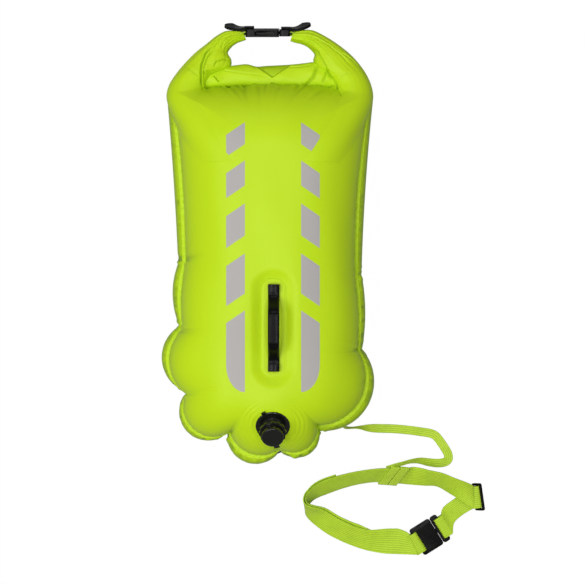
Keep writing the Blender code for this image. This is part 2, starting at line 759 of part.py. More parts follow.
LOOP_RADIUS = BAR_RADIUS + SEAT_GAP + WEB_THICKNESS / 2
top_matrix = (
    Matrix.Translation((TOP_MOUTH_X, TOP_BUCKLE_Y, MIDDLE_Z))
    @ Matrix.Rotation(math.radians(90.0 + TOP_BUCKLE_TILT), 4, "X")
)
top_frame, top_female_bar, top_male_bar = side_release_buckle(
    "top", STUB_WEBBING, TOP_CAVITY, TOP_FLANGE, top_matrix
)
gather_end_x = GATHER_SECTION_SHARES[-1][0] * BAG_WIDTH / 2
left_reach = gather_end_x + TOP_MOUTH_X + top_female_bar - SEAT_GAP
right_reach = gather_end_x - TOP_MOUTH_X - top_male_bar - SEAT_GAP
bar_loop("left_stub", top_frame, top_female_bar, left_reach, STUB_WEBBING, -1)
bar_loop("right_stub", top_frame, top_male_bar, right_reach, STUB_WEBBING, 1)


def pull_tab(name, foot_x, direction, face):
    """A leaf of stiff rubber that lies on the buckle's outer face and flares away past its end."""
    flare = math.radians(TAB_FLARE)
    top = -face - SEAT_GAP - TAB_THICKNESS / 2
    left, right = [], []
    for step in range(TAB_STEPS + 1):
        along = TAB_LENGTH * step / TAB_STEPS
        bend = max(along - TAB_FOOT, 0.0)
        x = foot_x + direction * (min(along, TAB_FOOT) + bend * math.cos(flare))
        z = top - bend * math.sin(flare)
        tip = max(along - TAB_LENGTH + TAB_WIDTH / 2, 0.0)
        wide = math.sqrt(max((TAB_WIDTH / 2) ** 2 - tip ** 2, TAB_TIP ** 2))
        left.append(Vector((x, -wide, z)))
        right.append(Vector((x, wide, z)))
    return strip(name, left, right, TAB_THICKNESS, BLACK_RUBBER, top_frame)


pull_tab("left_pull_tab", top_female_bar + TAB_FOOT + BAR_RADIUS, -1, BUCKLE_DEPTH / 2)
pull_tab("right_pull_tab", top_male_bar - TAB_FOOT - BAR_RADIUS, 1, BUCKLE_DEPTH / 2 - BUCKLE_BEVEL)

# Recess in the front chamber, its patch, the grab handle and the plates over the handle's feet
recess_floor = CROWN_Z - RECESS_DEPTH
recess_half_x = HANDLE_WIDTH / 2 + RECESS_SIDE_MARGIN
recess_half_y = HANDLE_LENGTH / 2 + RECESS_END_MARGIN
recess = rounded_box(recess_half_x, recess_half_y, RECESS_CORNER, centre=(HANDLE_X, HANDLE_Y))
boolean(front_chamber, slab(recess, recess_floor, CROWN_Z + CUT_OVERRUN))
patch = rounded_box(
    recess_half_x - SEAT_GAP, recess_half_y - SEAT_GAP, RECESS_CORNER, centre=(HANDLE_X, HANDLE_Y)
)
patch_top = recess_floor + SEAT_GAP + PATCH_THICKNESS
add("handle_patch", slab(patch, recess_floor + SEAT_GAP, patch_top), LIME_FABRIC)

strap_low = patch_top + SEAT_GAP + HANDLE_THICKNESS / 2
handle_path = []
for step in range(HANDLE_STEPS + 1):
    along = HANDLE_LENGTH * step / HANDLE_STEPS
    inward = min(along, HANDLE_LENGTH - along)
    climb = min(max((inward - HANDLE_FOOT) / HANDLE_RUN, 0.0), 1.0)
    lift = HANDLE_RISE * (1 - math.cos(math.pi * climb)) / 2
    handle_path.append((HANDLE_Y - HANDLE_LENGTH / 2 + along, strap_low + lift))
strip(
    "grab_handle",
    [Vector((HANDLE_X - HANDLE_WIDTH / 2, y, z)) for y, z in handle_path],
    [Vector((HANDLE_X + HANDLE_WIDTH / 2, y, z)) for y, z in handle_path],
    HANDLE_THICKNESS,
    BLACK_RUBBER,
)
plate_low = strap_low + HANDLE_THICKNESS / 2 + SEAT_GAP
for name, end in (("handle_plate_lower", -1), ("handle_plate_upper", 1)):
    middle = HANDLE_Y + end * (HANDLE_LENGTH / 2 - FOOT_PLATE_LENGTH / 2)
    outline = rounded_box(
        HANDLE_WIDTH / 2, FOOT_PLATE_LENGTH / 2, FOOT_PLATE_THICKNESS, centre=(HANDLE_X, middle)
    )
    add(name, slab(outline, plate_low, plate_low + FOOT_PLATE_THICKNESS), BLACK_RUBBER)


# Inflation valves, each laid out with its axis along Z and its seat at Z = 0
def inflation_valve(prefix, matrix, hinge_turn):
    """One valve: flange, housing, diaphragm, seal, mouthpiece, lock ring and flip cap."""
    carrier = frame(prefix + "_valve_frame", matrix)
    low = SEAT_GAP
    top = low + FLANGE_THICKNESS
    ledge = FLANGE_THICKNESS / 2
    flange = turned(prefix + "_valve_flange", [
        (HOUSING_BORE, top), (FLANGE_RADIUS - ledge, top), (FLANGE_RADIUS, low + ledge),
        (FLANGE_RADIUS, low), (HOUSING_BORE, low),
    ], VALVE_BLACK, carrier)
    nub_width, nub_length = FLANGE_NUB
    boolean(flange, block(
        (-FLANGE_RADIUS - nub_length, -nub_width / 2, low),
        (ledge - FLANGE_RADIUS, nub_width / 2, top + ledge),
    ), "UNION", Matrix.Rotation(math.radians(hinge_turn + NUB_TURN), 4, "Z"))

    base = top + SEAT_GAP
    deck = base + HOUSING_HEIGHT
    pitch = HOUSING_HEIGHT / (2 * HOUSING_THREADS + 1)
    housing = [(HOUSING_BORE, deck + NECK_HEIGHT), (NECK_RADIUS, deck + NECK_HEIGHT), (NECK_RADIUS, deck)]
    for turn in range(HOUSING_THREADS):
        level = deck - pitch * (2 * turn + 1)
        housing += [(HOUSING_RADIUS, level + pitch), (HOUSING_RADIUS, level)]
        housing += [(HOUSING_RADIUS - pitch / 2, level - pitch / 3)]
        housing += [(HOUSING_RADIUS - pitch / 2, level - pitch * 2 / 3)]
    housing += [(HOUSING_RADIUS, base + pitch), (HOUSING_RADIUS, base), (HOUSING_BORE, base)]
    turned(prefix + "_valve_housing", housing, VALVE_BLACK, carrier)

    flap_low = base + SEAT_GAP
    flap_top = flap_low + DIAPHRAGM_THICKNESS
    flap = rod((0, 0, flap_low), (0, 0, flap_top), HOUSING_BORE - SEAT_GAP, VALVE_STEPS)
    add(prefix + "_valve_diaphragm", flap, CLEAR_SILICONE, carrier)

    tube_low = flap_top + SEAT_GAP
    tube_top = base + MOUTHPIECE_HEIGHT
    collar = HOUSING_BORE - SEAT_GAP
    turned(prefix + "_valve_mouthpiece", [
        (MOUTHPIECE_BORE, tube_top), (MOUTHPIECE_RADIUS, tube_top),
        (MOUTHPIECE_RADIUS + SEAL_RADIUS / 2, tube_top - CAP_HEIGHT / 4),
        (MOUTHPIECE_RADIUS, tube_top - CAP_HEIGHT / 2), (MOUTHPIECE_RADIUS, tube_low + HOUSING_HEIGHT / 2),
        (collar, tube_low + HOUSING_HEIGHT / 3), (collar, tube_low), (MOUTHPIECE_BORE, tube_low),
    ], VALVE_BLACK, carrier)

    seal_radius = (HOUSING_BORE + MOUTHPIECE_RADIUS) / 2
    seal = (HOUSING_BORE - MOUTHPIECE_RADIUS) / 2 - SEAT_GAP
    seal_z = deck + NECK_HEIGHT / 2
    seal_turns = [math.tau * k / SEAL_SIDES for k in range(SEAL_SIDES)]
    turned(prefix + "_valve_seal", [
        (seal_radius + seal * math.sin(turn), seal_z + seal * math.cos(turn)) for turn in seal_turns
    ], BLACK_RUBBER, carrier)

    ring_low = deck + SEAT_GAP
    ring_top = ring_low + LOCK_HEIGHT
    outline = []
    for k in range(LOCK_GRIPS * 4):
        radius = LOCK_RADIUS - (LOCK_GROOVE if k % 4 > 1 else 0.0)
        angle = math.tau * k / (LOCK_GRIPS * 4)
        outline.append((radius * math.cos(angle), radius * math.sin(angle)))
    lock = add(prefix + "_valve_lock_ring", slab(outline, ring_low, ring_top), VALVE_BLACK, carrier)
    start, end = (0, 0, ring_low - CUT_OVERRUN), (0, 0, ring_top + CUT_OVERRUN)
    boolean(lock, rod(start, end, NECK_RADIUS + SLIDE_CLEARANCE, VALVE_STEPS))

    cap_low = max(ring_top, deck + NECK_HEIGHT) + SEAT_GAP
    cap_top = tube_top + SEAT_GAP + CAP_WALL
    inner = CAP_RADIUS - CAP_WALL
    hinge_x = -CAP_RADIUS - 2 * KNUCKLE_RADIUS
    hinge_z = cap_low + KNUCKLE_RADIUS
    turn = Matrix.Rotation(math.radians(hinge_turn), 4, "Z")
    hinge = frame(prefix + "_valve_hinge", turn @ Matrix.Translation((hinge_x, 0, hinge_z)))
    hinge.parent = carrier
    cap = turned(prefix + "_valve_cap", [
        (0.0, cap_top), (CAP_RADIUS - CAP_WALL / 2, cap_top), (CAP_RADIUS, cap_top - CAP_WALL / 2),
        (CAP_RADIUS, cap_low), (inner, cap_low), (inner, cap_top - CAP_WALL), (0.0, cap_top - CAP_WALL),
    ], VALVE_BLACK, hinge, (-hinge_x, 0, -hinge_z))
    boolean(cap, block(
        (CAP_RADIUS - CAP_WALL / 2, -CAP_TAB_WIDTH / 2, cap_low + SEAT_GAP),
        (CAP_RADIUS + CAP_TAB_LENGTH, CAP_TAB_WIDTH / 2, cap_low + SEAT_GAP + CAP_TAB_THICKNESS),
    ), "UNION")
    arm = CAP_TAB_WIDTH / 4
    boolean(cap, block(
        (hinge_x, -arm, hinge_z - ARM_THICKNESS / 2),
        (-inner - CAP_WALL / 2, arm, hinge_z + ARM_THICKNESS / 2),
    ), "UNION")
    boolean(cap, rod((hinge_x, -arm, hinge_z), (hinge_x, arm, hinge_z), KNUCKLE_RADIUS, 12), "UNION")
    near = arm + SLIDE_CLEARANCE
    far = near + EAR_THICKNESS
    for low_y, high_y in ((-far, -near), (near, far)):
        boolean(lock, block(
            (hinge_x - KNUCKLE_RADIUS, low_y, ring_top - LOCK_GROOVE),
            (hinge_x + KNUCKLE_RADIUS, high_y, hinge_z + KNUCKLE_RADIUS),
        ), "UNION", turn)


# The front valve stands square on a flat where the crown slopes to the foot
def crown_height(y):
    """Height of the front chamber's ridge at a distance from the foot."""
    return FRONT_BASE + FRONT_DEPTH * crown((SPINE_FOOT - y) / FOOT_ROUND, FRONT_FLAT_SHARE)


fall = crown_height(VALVE_Y + FLANGE_RADIUS) - crown_height(VALVE_Y - FLANGE_RADIUS)
front_seat = (
    Matrix.Translation((VALVE_X, VALVE_Y, crown_height(VALVE_Y)))
    @ Matrix.Rotation(math.atan2(fall, 2 * FLANGE_RADIUS), 4, "X")
    @ Matrix.Translation((0, 0, -VALVE_SEAT_DEPTH))
)
seat_reach = FLANGE_RADIUS + 2 * CUT_OVERRUN
boolean(front_chamber, rod((0, 0, 0), (0, 0, seat_reach), seat_reach, VALVE_STEPS), matrix=front_seat)
inflation_valve("front", front_seat, FRONT_HINGE_TURN)

# The rear valve points down in a pocket of the rear chamber's foot
rear_seat = Matrix.Translation((VALVE_X, REAR_VALVE_Y, REAR_VALVE_SEAT)) @ Matrix.Rotation(math.pi, 4, "X")
pocket = rod((0, 0, 0), (0, 0, REAR_VALVE_SEAT + CUT_OVERRUN), REAR_POCKET_RADIUS, VALVE_STEPS)
boolean(rear_chamber, pocket, matrix=rear_seat)
inflation_valve("rear", rear_seat, REAR_HINGE_TURN)

# Leash anchor: a patch on a flat that is cut in the wall of the rear chamber's lower right lobe
anchor_index = sum(SPAN_POINTS[:ANCHOR_LOBE_INDEX]) + ANCHOR_POINT_INDEX
anchor_along = (rear_edge[anchor_index + 1] - rear_edge[anchor_index - 1]).normalized()
anchor_out = Vector((anchor_along.y, -anchor_along.x))
anchor_spot = rear_edge[anchor_index] - anchor_out * ANCHOR_SINK
anchor_matrix = Matrix((
    (anchor_along.x, 0, anchor_out.x, anchor_spot.x),
    (anchor_along.y, 0, anchor_out.y, anchor_spot.y),
    (0, 1, 0, ANCHOR_Z),
    (0, 0, 0, 1),
))
anchor_half = Vector((ANCHOR_WIDTH, ANCHOR_HEIGHT)) / 2
clear_x, clear_y = anchor_half.x + CUT_OVERRUN, anchor_half.y + CUT_OVERRUN
boolean(
    rear_chamber, block((-clear_x, -clear_y, 0), (clear_x, clear_y, ANCHOR_HEIGHT)), matrix=anchor_matrix
)
anchor_frame = frame("anchor_frame", anchor_matrix)
anchor_outline = rounded_box(anchor_half.x, anchor_half.y, ANCHOR_THICKNESS)
anchor_mesh = slab(anchor_outline, SEAT_GAP, SEAT_GAP + ANCHOR_THICKNESS)
add("leash_anchor", anchor_mesh, LIME_WEBBING, anchor_frame)

# Belt buckle and the webbing loops round its bars
belt_half = BELT_WEBBING / 2 + BUCKLE_MARGIN
belt_roll = math.radians(BELT_ROLL)
belt_z = SEAT_GAP + belt_half * math.sin(belt_roll) + BUCKLE_DEPTH / 2 * math.cos(belt_roll)
belt_matrix = (
    Matrix.Translation((*BELT_MOUTH, belt_z))
    @ Matrix.Rotation(math.radians(BELT_ANGLE), 4, "Z")
    @ Matrix.Rotation(belt_roll, 4, "X")
)
belt_frame, belt_female_bar, belt_male_bar = side_release_buckle(
    "belt", BELT_WEBBING, BELT_CAVITY, BELT_FLANGE, belt_matrix
)
bar_loop("belt_female_loop", belt_frame, belt_female_bar, LOOP_REACH, BELT_WEBBING, -1)
bar_loop("belt_male_loop", belt_frame, belt_male_bar, LOOP_REACH, BELT_WEBBING, 1)

# Waist belt: two straps that lie on each other round the left bend
near_end = belt_female_bar - LOOP_REACH - 2 * SEAT_GAP
near_low = belt_matrix @ Vector((near_end, -BELT_WEBBING / 2, LOOP_RADIUS))
near_high = belt_matrix @ Vector((near_end, BELT_WEBBING / 2, LOOP_RADIUS))
layer = (WEB_THICKNESS + LAYER_ROOM) / 2
route = [(*near_low, BELT_ROLL)] + list(BELT_ROUTE)


def ease_edge(left, right, edge, count):
    """Let a strap's first stations run straight from the edge where it starts."""
    for rail, corner in zip((left, right), edge):
        for k in range(count):
            rail[k] = corner.lerp(rail[count], k / count)


def belt_strap(name, first, last, offset, raised=False, start=None, end=None):
    """The belt's webbing from one station of its route to another."""
    stations = catmull(route, ROUTE_STEPS)
    lifts = []
    for k in range(len(stations)):
        gone = (k / ROUTE_STEPS - FAR_START_INDEX) / (TAIL_END_INDEX - FAR_START_INDEX)
        lifts.append(TAIL_RAISE * min(max(1 - gone, 0.0), 1.0) if raised else 0.0)
    left, right = rails(stations, BELT_WEBBING, offset, lifts)
    left = left[first * ROUTE_STEPS:last * ROUTE_STEPS + 1]
    right = right[first * ROUTE_STEPS:last * ROUTE_STEPS + 1]
    if first and not raised:
        for edge in (left, right):
            edge[0] += (edge[1] - edge[0]).normalized() * 2 * SEAT_GAP
    if start:
        ease_edge(left, right, start, EASED_COUNT)
    if end:
        left.reverse()
        right.reverse()
        ease_edge(left, right, end, SLIDER_EASED_COUNT)
    return strip(name, left, right, WEB_THICKNESS, LIME_WEBBING)


belt_strap("belt_near_strap", 0, NEAR_END_INDEX, -layer, start=(near_low, near_high))
belt_strap("belt_far_strap", FAR_START_INDEX, FAR_END_INDEX, layer, raised=True)

# Slider with its two slots, and the webbing that turns round its middle bar
slider_matrix = Matrix.Translation(SLIDER_CENTRE) @ Matrix.Rotation(math.radians(SLIDER_ANGLE), 4, "Z")
slider_frame = frame("slider_frame", slider_matrix)
slider_outline = rounded_box(SLIDER_WIDTH / 2, SLIDER_LENGTH / 2, SLIDER_THICKNESS)
plate = slab(slider_outline, -SLIDER_THICKNESS / 2, SLIDER_THICKNESS / 2)
slider = add("belt_triglide", plate, BLACK_PLASTIC, slider_frame)
slider.rotation_euler.y = math.radians(180.0 - SLIDER_LEAN)
soften(slider, BUCKLE_BEVEL, 1)
slot_end = BELT_WEBBING / 2 + 2 * SLIDE_CLEARANCE
slot_far = SLIDER_WIDTH / 2 - SLIDER_RAIL
for low_x, high_x in ((-slot_far, -SLIDER_BAR / 2), (SLIDER_BAR / 2, slot_far)):
    boolean(slider, block((low_x, -slot_end, -SLIDER_THICKNESS), (high_x, slot_end, SLIDER_THICKNESS)))
turn_radius = math.hypot(SLIDER_BAR, SLIDER_THICKNESS) / 2 + SEAT_GAP + WEB_THICKNESS / 2
turn_path = [(-LOOP_REACH, turn_radius)]
for step in range(ARC_STEPS + 1):
    angle = math.radians(90.0 - 180.0 * step / ARC_STEPS)
    turn_path.append((turn_radius * math.cos(angle), turn_radius * math.sin(angle)))
turn_path.append((-LOOP_REACH, -turn_radius))
strip(
    "belt_slider_loop",
    [Vector((x, -BELT_WEBBING / 2, z)) for x, z in turn_path],
    [Vector((x, BELT_WEBBING / 2, z)) for x, z in turn_path],
    WEB_THICKNESS,
    LIME_WEBBING,
    slider_frame,
)


def slider_edge(height):
    """Both ends of the line where a strap meets the webbing in the slider."""
    reach = -LOOP_REACH - 2 * SEAT_GAP
    return [slider_matrix @ Vector((reach, side * BELT_WEBBING / 2, height)) for side in (-1, 1)]


upper_end = slider_edge(turn_radius)
route.append((*upper_end[0], 180.0))
belt_strap("belt_upper_strap", FAR_END_INDEX, len(route) - 1, layer, end=upper_end)


def adjust_strap(name, loop_height, slider_height):
    """One layer of the doubled strap between the buckle's male half and the slider."""
    male_end = belt_male_bar + LOOP_REACH + 2 * SEAT_GAP
    edges = []
    slider_ends = slider_edge(slider_height)
    for side, way, last in ((-1, ADJUST_LOWER_EDGE, slider_ends[0]), (1, ADJUST_UPPER_EDGE, slider_ends[1])):
        first = belt_matrix @ Vector((male_end, side * BELT_WEBBING / 2, loop_height))
        spots = [first]
        for k, (x, y) in enumerate(way):
            left_over = (1 - (k + 1) / (len(way) + 1)) ** 2
            spots.append(Vector((x, y, last.z + (first.z - last.z) * left_over)))
        spots.append(last)
        edges.append([Vector(spot) for spot in catmull([tuple(spot) for spot in spots], ROUTE_STEPS + 1)])
    return strip(name, edges[0], edges[1], WEB_THICKNESS, LIME_WEBBING)


under = WEB_THICKNESS + SEAT_GAP
adjust_strap("belt_adjust_strap", LOOP_RADIUS, -turn_radius)
adjust_strap("belt_adjust_return", -LOOP_RADIUS, -turn_radius - under)

# Leash: a tape that runs from its anchor to a loop round the belt
leash_face = ANCHOR_THICKNESS + WEB_THICKNESS / 2 + 3 * SEAT_GAP
leash_start = anchor_matrix @ Vector((0, 0, leash_face))
leash_hang = anchor_matrix @ Vector((0, -anchor_half.y, leash_face + LEASH_LIFT))
leash = catmull([(*leash_start, 0.0), (*leash_hang, 0.0)] + list(LEASH_ROUTE), ROUTE_STEPS)
leash_left, leash_right = rails(leash, LEASH_TAPE, middle=True)
strip("leash_tape", leash_left, leash_right, WEB_THICKNESS, LIME_WEBBING)

loop_place = Vector(route[LEASH_LOOP_INDEX][:3])
loop_before = Vector(route[LEASH_LOOP_INDEX - 1][:3])
loop_after = Vector(route[LEASH_LOOP_INDEX + 1][:3])
loop_along = (loop_after - loop_before).normalized()
loop_side = Vector((loop_along.y, -loop_along.x, 0)).normalized()
loop_lean = math.radians(route[LEASH_LOOP_INDEX][3])
loop_across = loop_side * math.cos(loop_lean) + loop_side.cross(loop_along) * math.sin(loop_lean)
loop_facing = loop_along.cross(loop_across)
loop_middle = loop_place + loop_across * BELT_WEBBING / 2 + loop_facing * layer
half_thick = WEB_THICKNESS + LEASH_LOOP_ROOM
half_wide = BELT_WEBBING / 2 + half_thick
loop_left, loop_right = [], []
section = rounded_box(half_wide, half_thick, half_thick - SEAT_GAP, steps=4)
for k, (wide, thick) in enumerate(section):
    slant = LEASH_LOOP_SLANT * math.cos(math.tau * k / len(section))
    spot = loop_middle + loop_across * wide + loop_facing * thick + loop_along * slant
    loop_left.append(spot - loop_along * LEASH_TAPE / 2)
    loop_right.append(spot + loop_along * LEASH_TAPE / 2)
strip("leash_belt_loop", loop_left, loop_right, WEB_THICKNESS, LIME_WEBBING, loop=True)
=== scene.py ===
"""An open water swim buoy lying on its back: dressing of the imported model.

The sections follow the buoy as it is put together, from the rear air chamber up to the waist belt.
"""
import math

import json

import bmesh
import bpy
import numpy as np
from mathutils import Matrix, Vector
from mathutils.bvhtree import BVHTree

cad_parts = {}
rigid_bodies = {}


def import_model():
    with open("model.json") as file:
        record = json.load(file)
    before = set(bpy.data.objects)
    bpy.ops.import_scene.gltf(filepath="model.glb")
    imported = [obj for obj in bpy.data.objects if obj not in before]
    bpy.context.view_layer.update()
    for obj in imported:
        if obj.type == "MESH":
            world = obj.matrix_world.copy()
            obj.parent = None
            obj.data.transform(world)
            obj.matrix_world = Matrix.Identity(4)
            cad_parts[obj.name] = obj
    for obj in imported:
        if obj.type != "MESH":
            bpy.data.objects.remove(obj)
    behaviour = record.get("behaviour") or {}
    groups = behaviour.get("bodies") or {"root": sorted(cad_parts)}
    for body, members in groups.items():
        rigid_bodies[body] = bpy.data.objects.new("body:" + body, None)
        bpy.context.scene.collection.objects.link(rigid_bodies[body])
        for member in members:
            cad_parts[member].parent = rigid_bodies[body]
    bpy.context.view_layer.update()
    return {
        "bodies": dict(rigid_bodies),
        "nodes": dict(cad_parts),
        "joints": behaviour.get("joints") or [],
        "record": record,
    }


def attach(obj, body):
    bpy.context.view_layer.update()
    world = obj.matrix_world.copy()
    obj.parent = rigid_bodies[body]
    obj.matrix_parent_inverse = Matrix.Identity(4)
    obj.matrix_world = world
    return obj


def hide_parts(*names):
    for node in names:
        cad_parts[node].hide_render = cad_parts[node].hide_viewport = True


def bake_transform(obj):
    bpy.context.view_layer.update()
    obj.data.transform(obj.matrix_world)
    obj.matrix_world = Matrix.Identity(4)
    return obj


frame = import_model()
nodes = frame["nodes"]

# Camera and light. The buoy is photographed from straight above on a white table, between two long
# soft boxes, with a lower light at its left, little from its right and a weak one past its head.
VIEW_MIDDLE = (0.0321, -0.0662)
VIEW_HEIGHT = 2.69
VIEW_WIDTH = 0.766
VIEW_LEVEL = 0.09
FILM_WIDTH = 36.0

lens = bpy.data.cameras.new("camera")
lens.sensor_width = FILM_WIDTH
lens.lens = FILM_WIDTH * (VIEW_HEIGHT - VIEW_LEVEL) / VIEW_WIDTH
camera = bpy.data.objects.new("camera", lens)
camera.location = (*VIEW_MIDDLE, VIEW_HEIGHT)
bpy.context.scene.collection.objects.link(camera)
bpy.context.scene.camera = camera
bpy.context.scene.view_settings.view_transform = "Standard"


def soft_light(name, place, target, width, height, power):
    """A rectangular lamp that faces a point."""
    lamp = bpy.data.lights.new(name, "AREA")
    lamp.shape = "RECTANGLE"
    lamp.size = width
    lamp.size_y = height
    lamp.energy = power
    lit = bpy.data.objects.new(name, lamp)
    facing = (Vector(place) - Vector(target)).normalized()
    side = Vector((0.0, 1.0, 0.0)).cross(facing).normalized()
    lit.location = place
    lit.rotation_euler = Matrix((side, facing.cross(side), facing)).transposed().to_euler()
    bpy.context.scene.collection.objects.link(lit)


soft_light("left_strip", (-0.66, -0.45, 3.0), (0.0, -0.05, 0.1), 0.44, 2.4, 28.5)
soft_light("right_strip", (0.5, -0.45, 3.0), (0.0, -0.05, 0.1), 0.44, 2.4, 21.5)
soft_light("left_light", (-1.35, -0.45, 2.0), (0.0, 0.0, 0.1), 0.7, 1.8, 17.5)
soft_light("right_fill", (1.9, -0.3, 1.5), (0.0, 0.0, 0.1), 1.2, 1.6, 2.5)
soft_light("head_fill", (-0.2, 1.9, 1.6), (0.0, 0.1, 0.1), 1.0, 0.8, 5.0)


class Value:
    """A number or colour that changes over a surface; sums on it become Math nodes."""

    def __init__(self, finish, socket):
        self.finish = finish
        self.socket = socket

    def math(self, operation, *others):
        return self.finish.node("ShaderNodeMath", [self, *others], operation=operation)

    def __add__(self, other):
        return self.math("ADD", other)

    __radd__ = __add__

    def __sub__(self, other):
        return self.math("SUBTRACT", other)

    def __rsub__(self, other):
        return self.finish.node("ShaderNodeMath", [other, self], operation="SUBTRACT")

    def __mul__(self, other):
        return self.math("MULTIPLY", other)

    def __truediv__(self, other):
        return self.math("DIVIDE", other)

    def wave(self, period):
        """A smooth swing between -1 and 1 over a period."""
        return (self * (math.tau / period)).math("SINE")

    def above(self, low, soft):
        """0 up to low and 1 from low + soft on."""
        return ((self - low) / soft).clamped()

    def clamped(self):
        return self.finish.node("ShaderNodeClamp", [self])


class Finish:
    """One of the buoy's finishes, on a Principled shader."""

    def __init__(self, name, colour, roughness, **plain):
        self.material = bpy.data.materials.new(name)
        self.material.use_nodes = True
        self.tree = self.material.node_tree
        self.shader = self.tree.nodes["Principled BSDF"]
        self.put(self.shader, {"Base Color": colour, "Roughness": roughness, **plain})

    def put(self, node, sockets):
        pairs = sockets.items() if isinstance(sockets, dict) else enumerate(sockets)
        for key, value in pairs:
            socket = node.inputs[key]
            if isinstance(value, Value):
                self.tree.links.new(value.socket, socket)
            elif socket.type == "RGBA":
                socket.default_value = (*value, 1.0)
            else:
                socket.default_value = value

    def node(self, kind, sockets=(), output=0, **settings):
        node = self.tree.nodes.new(kind)
        for key, value in settings.items():
            setattr(node, key, value)
        self.put(node, sockets)
        return Value(self, node.outputs[output])

    def place(self, output="Object"):
        return self.node("ShaderNodeTexCoord", output=output)

    def axes(self, output="Object"):
        """The three coordinates of a point, in metres."""
        split = self.node("ShaderNodeSeparateXYZ", [self.place(output)]).socket.node
        return [Value(self, socket) for socket in split.outputs]

    def noise(self, scale, detail=3.0, stretch=(1.0, 1.0, 1.0), output="Object"):
        """Noise from 0 to 1, its grain 1/scale metres across."""
        spot = self.node("ShaderNodeMapping", {"Vector": self.place(output), "Scale": stretch})
        return self.node("ShaderNodeTexNoise", {"Vector": spot, "Scale": scale, "Detail": detail})

    def blend(self, share, first, second):
        return self.node("ShaderNodeMix", {0: share, 6: first, 7: second}, output=2, data_type="RGBA")

    def attribute(self, name):
        return self.node("ShaderNodeAttribute", output="Fac", attribute_name=name)

    def bump(self, height, strength, distance, under=None):
        sockets = {"Height": height, "Strength": strength, "Distance": distance}
        if under:
            sockets["Normal"] = under
        return self.node("ShaderNodeBump", sockets)

    def wear(self, **sockets):
        """Feeds the shader's own sockets."""
        self.put(self.shader, {key.replace("_", " "): value for key, value in sockets.items()})
        return self.material


# Table top: matt white, seen by the camera as white paper that still holds a faint shadow.
FLOOR_SIZE = 6.0
FLOOR_DROP = 0.0004
PAPER_SHARE = 0.96
PAPER_GLOW = 1.03
WORLD_LEVEL = 0.24

bpy.ops.object.select_all(action="DESELECT")
bpy.ops.mesh.primitive_plane_add(size=FLOOR_SIZE, location=(0, 0, -FLOOR_DROP))
floor = bpy.context.object
floor.name = "floor"
paper = Finish("white_paper", (0.34, 0.34, 0.34), 0.9)
seen = paper.node("ShaderNodeLightPath")
white = paper.node("ShaderNodeEmission", {"Color": (1.0, 1.0, 1.0), "Strength": PAPER_GLOW})
table = Value(paper, paper.shader.outputs[0])
mixed = paper.node("ShaderNodeMixShader", [seen * PAPER_SHARE, table, white])
paper.tree.links.new(mixed.socket, paper.tree.nodes["Material Output"].inputs["Surface"])
floor.data.materials.append(paper.material)

world = bpy.data.worlds.new("studio")
world.use_nodes = True
sky = world.node_tree.nodes["Background"].inputs
sky["Color"].default_value = (1.0, 1.0, 1.0, 1.0)
sky["Strength"].default_value = WORLD_LEVEL
bpy.context.scene.world = world

# Air chambers: lime nylon coated on the inside, cut as two scalloped pillows. Tables of notch points
# as shares of half the bag's width and length, with the bulge of the span that follows each notch.
BAG_WIDTH = 0.275
BAG_LENGTH = 0.486
BAG_MIDDLE_Y = -0.0445
REAR_DEPTH = 0.102
REAR_WAIST = 0.0632
FRONT_BASE = 0.105
FRONT_DEPTH = 0.072
MIDDLE_Z = 0.1035
FOOT_ROUND = 0.108
HEAD_ROUND = 0.1
FRONT_FLAT = 0.22
REAR_FLAT = 0.42
REAR_CENTRE = 0.2
# painted shade: how far the rear shoulder and the creases of puckers are painted towards the shade colour
REAR_SHADE, CREASE_SHADE = 0.3, 0.45
SHOULDER_START = 0.35
AROUND = 1040
SHOULDER_STEPS, BACK_STEPS = 25, 24
PILLOW_STEPS, CROWN_STEPS = 57, 19
LOBE_SPREAD = 0.045
NOTCHES = range(1, 9)

REAR_EDGE_SHARES = (
    (-0.972, 0.985, -0.01),
    (-0.864, 0.067, 0.06),
    (-0.85, -0.27, 0.206),
    (-0.778, -0.628, 0.262),
    (-0.396, -0.854, 0.207),
    (0.114, -0.946, 0.16),
    (0.488, -0.838, 0.303),
    (0.902, -0.396, 0.033),
    (0.896, 0.013, -0.016),
    (1.008, 0.968, 0.04),
)
FRONT_SEAM_SHARES = (
    (-0.895, 0.983, -0.026),
    (-0.776, 0.067, 0.029),
    (-0.804, -0.283, 0.143),
    (-0.776, -0.633, 0.205),
    (-0.358, -0.834, 0.135),
    (0.114, -0.925, 0.13),
    (0.467, -0.801, 0.24),
    (0.851, -0.402, 0.019),
    (0.824, -0.003, -0.045),
    (0.968, 0.972, 0.084),
)
SPAN_SHARES = (0.235, 0.058, 0.066, 0.082, 0.075, 0.068, 0.094, 0.072, 0.165, 0.085)
chance = np.random.default_rng(11)


def arc(start, end, bulge, count):
    """Points of the arc that stands out by bulge on the right of the way from start to end."""
    chord = end - start
    length = np.hypot(*chord)
    outward = np.array([chord[1], -chord[0]]) / length
    radius = (length ** 2 / 4 + bulge ** 2) / (2 * bulge)
    centre = (start + end) / 2 + outward * (bulge - radius)
    turn = 4 * math.atan(2 * bulge / length) * np.arange(count) / count
    x, y = start - centre
    return centre + np.stack([x * np.cos(turn) - y * np.sin(turn), x * np.sin(turn) + y * np.cos(turn)], 1)


def outline_of(shares):
    """The scalloped outline of a pillow, with as many points in each span for both pillows."""
    notches = [np.array([x * BAG_WIDTH / 2, BAG_MIDDLE_Y + y * BAG_LENGTH / 2]) for x, y, _ in shares]
    counts = [round(share * AROUND) for share in SPAN_SHARES]
    counts[-1] += AROUND - sum(counts)
    spans = [
        arc(notches[k], notches[(k + 1) % len(notches)], shares[k][2] * BAG_WIDTH / 2, counts[k])
        for k in range(len(shares))
    ]
    return np.concatenate(spans)


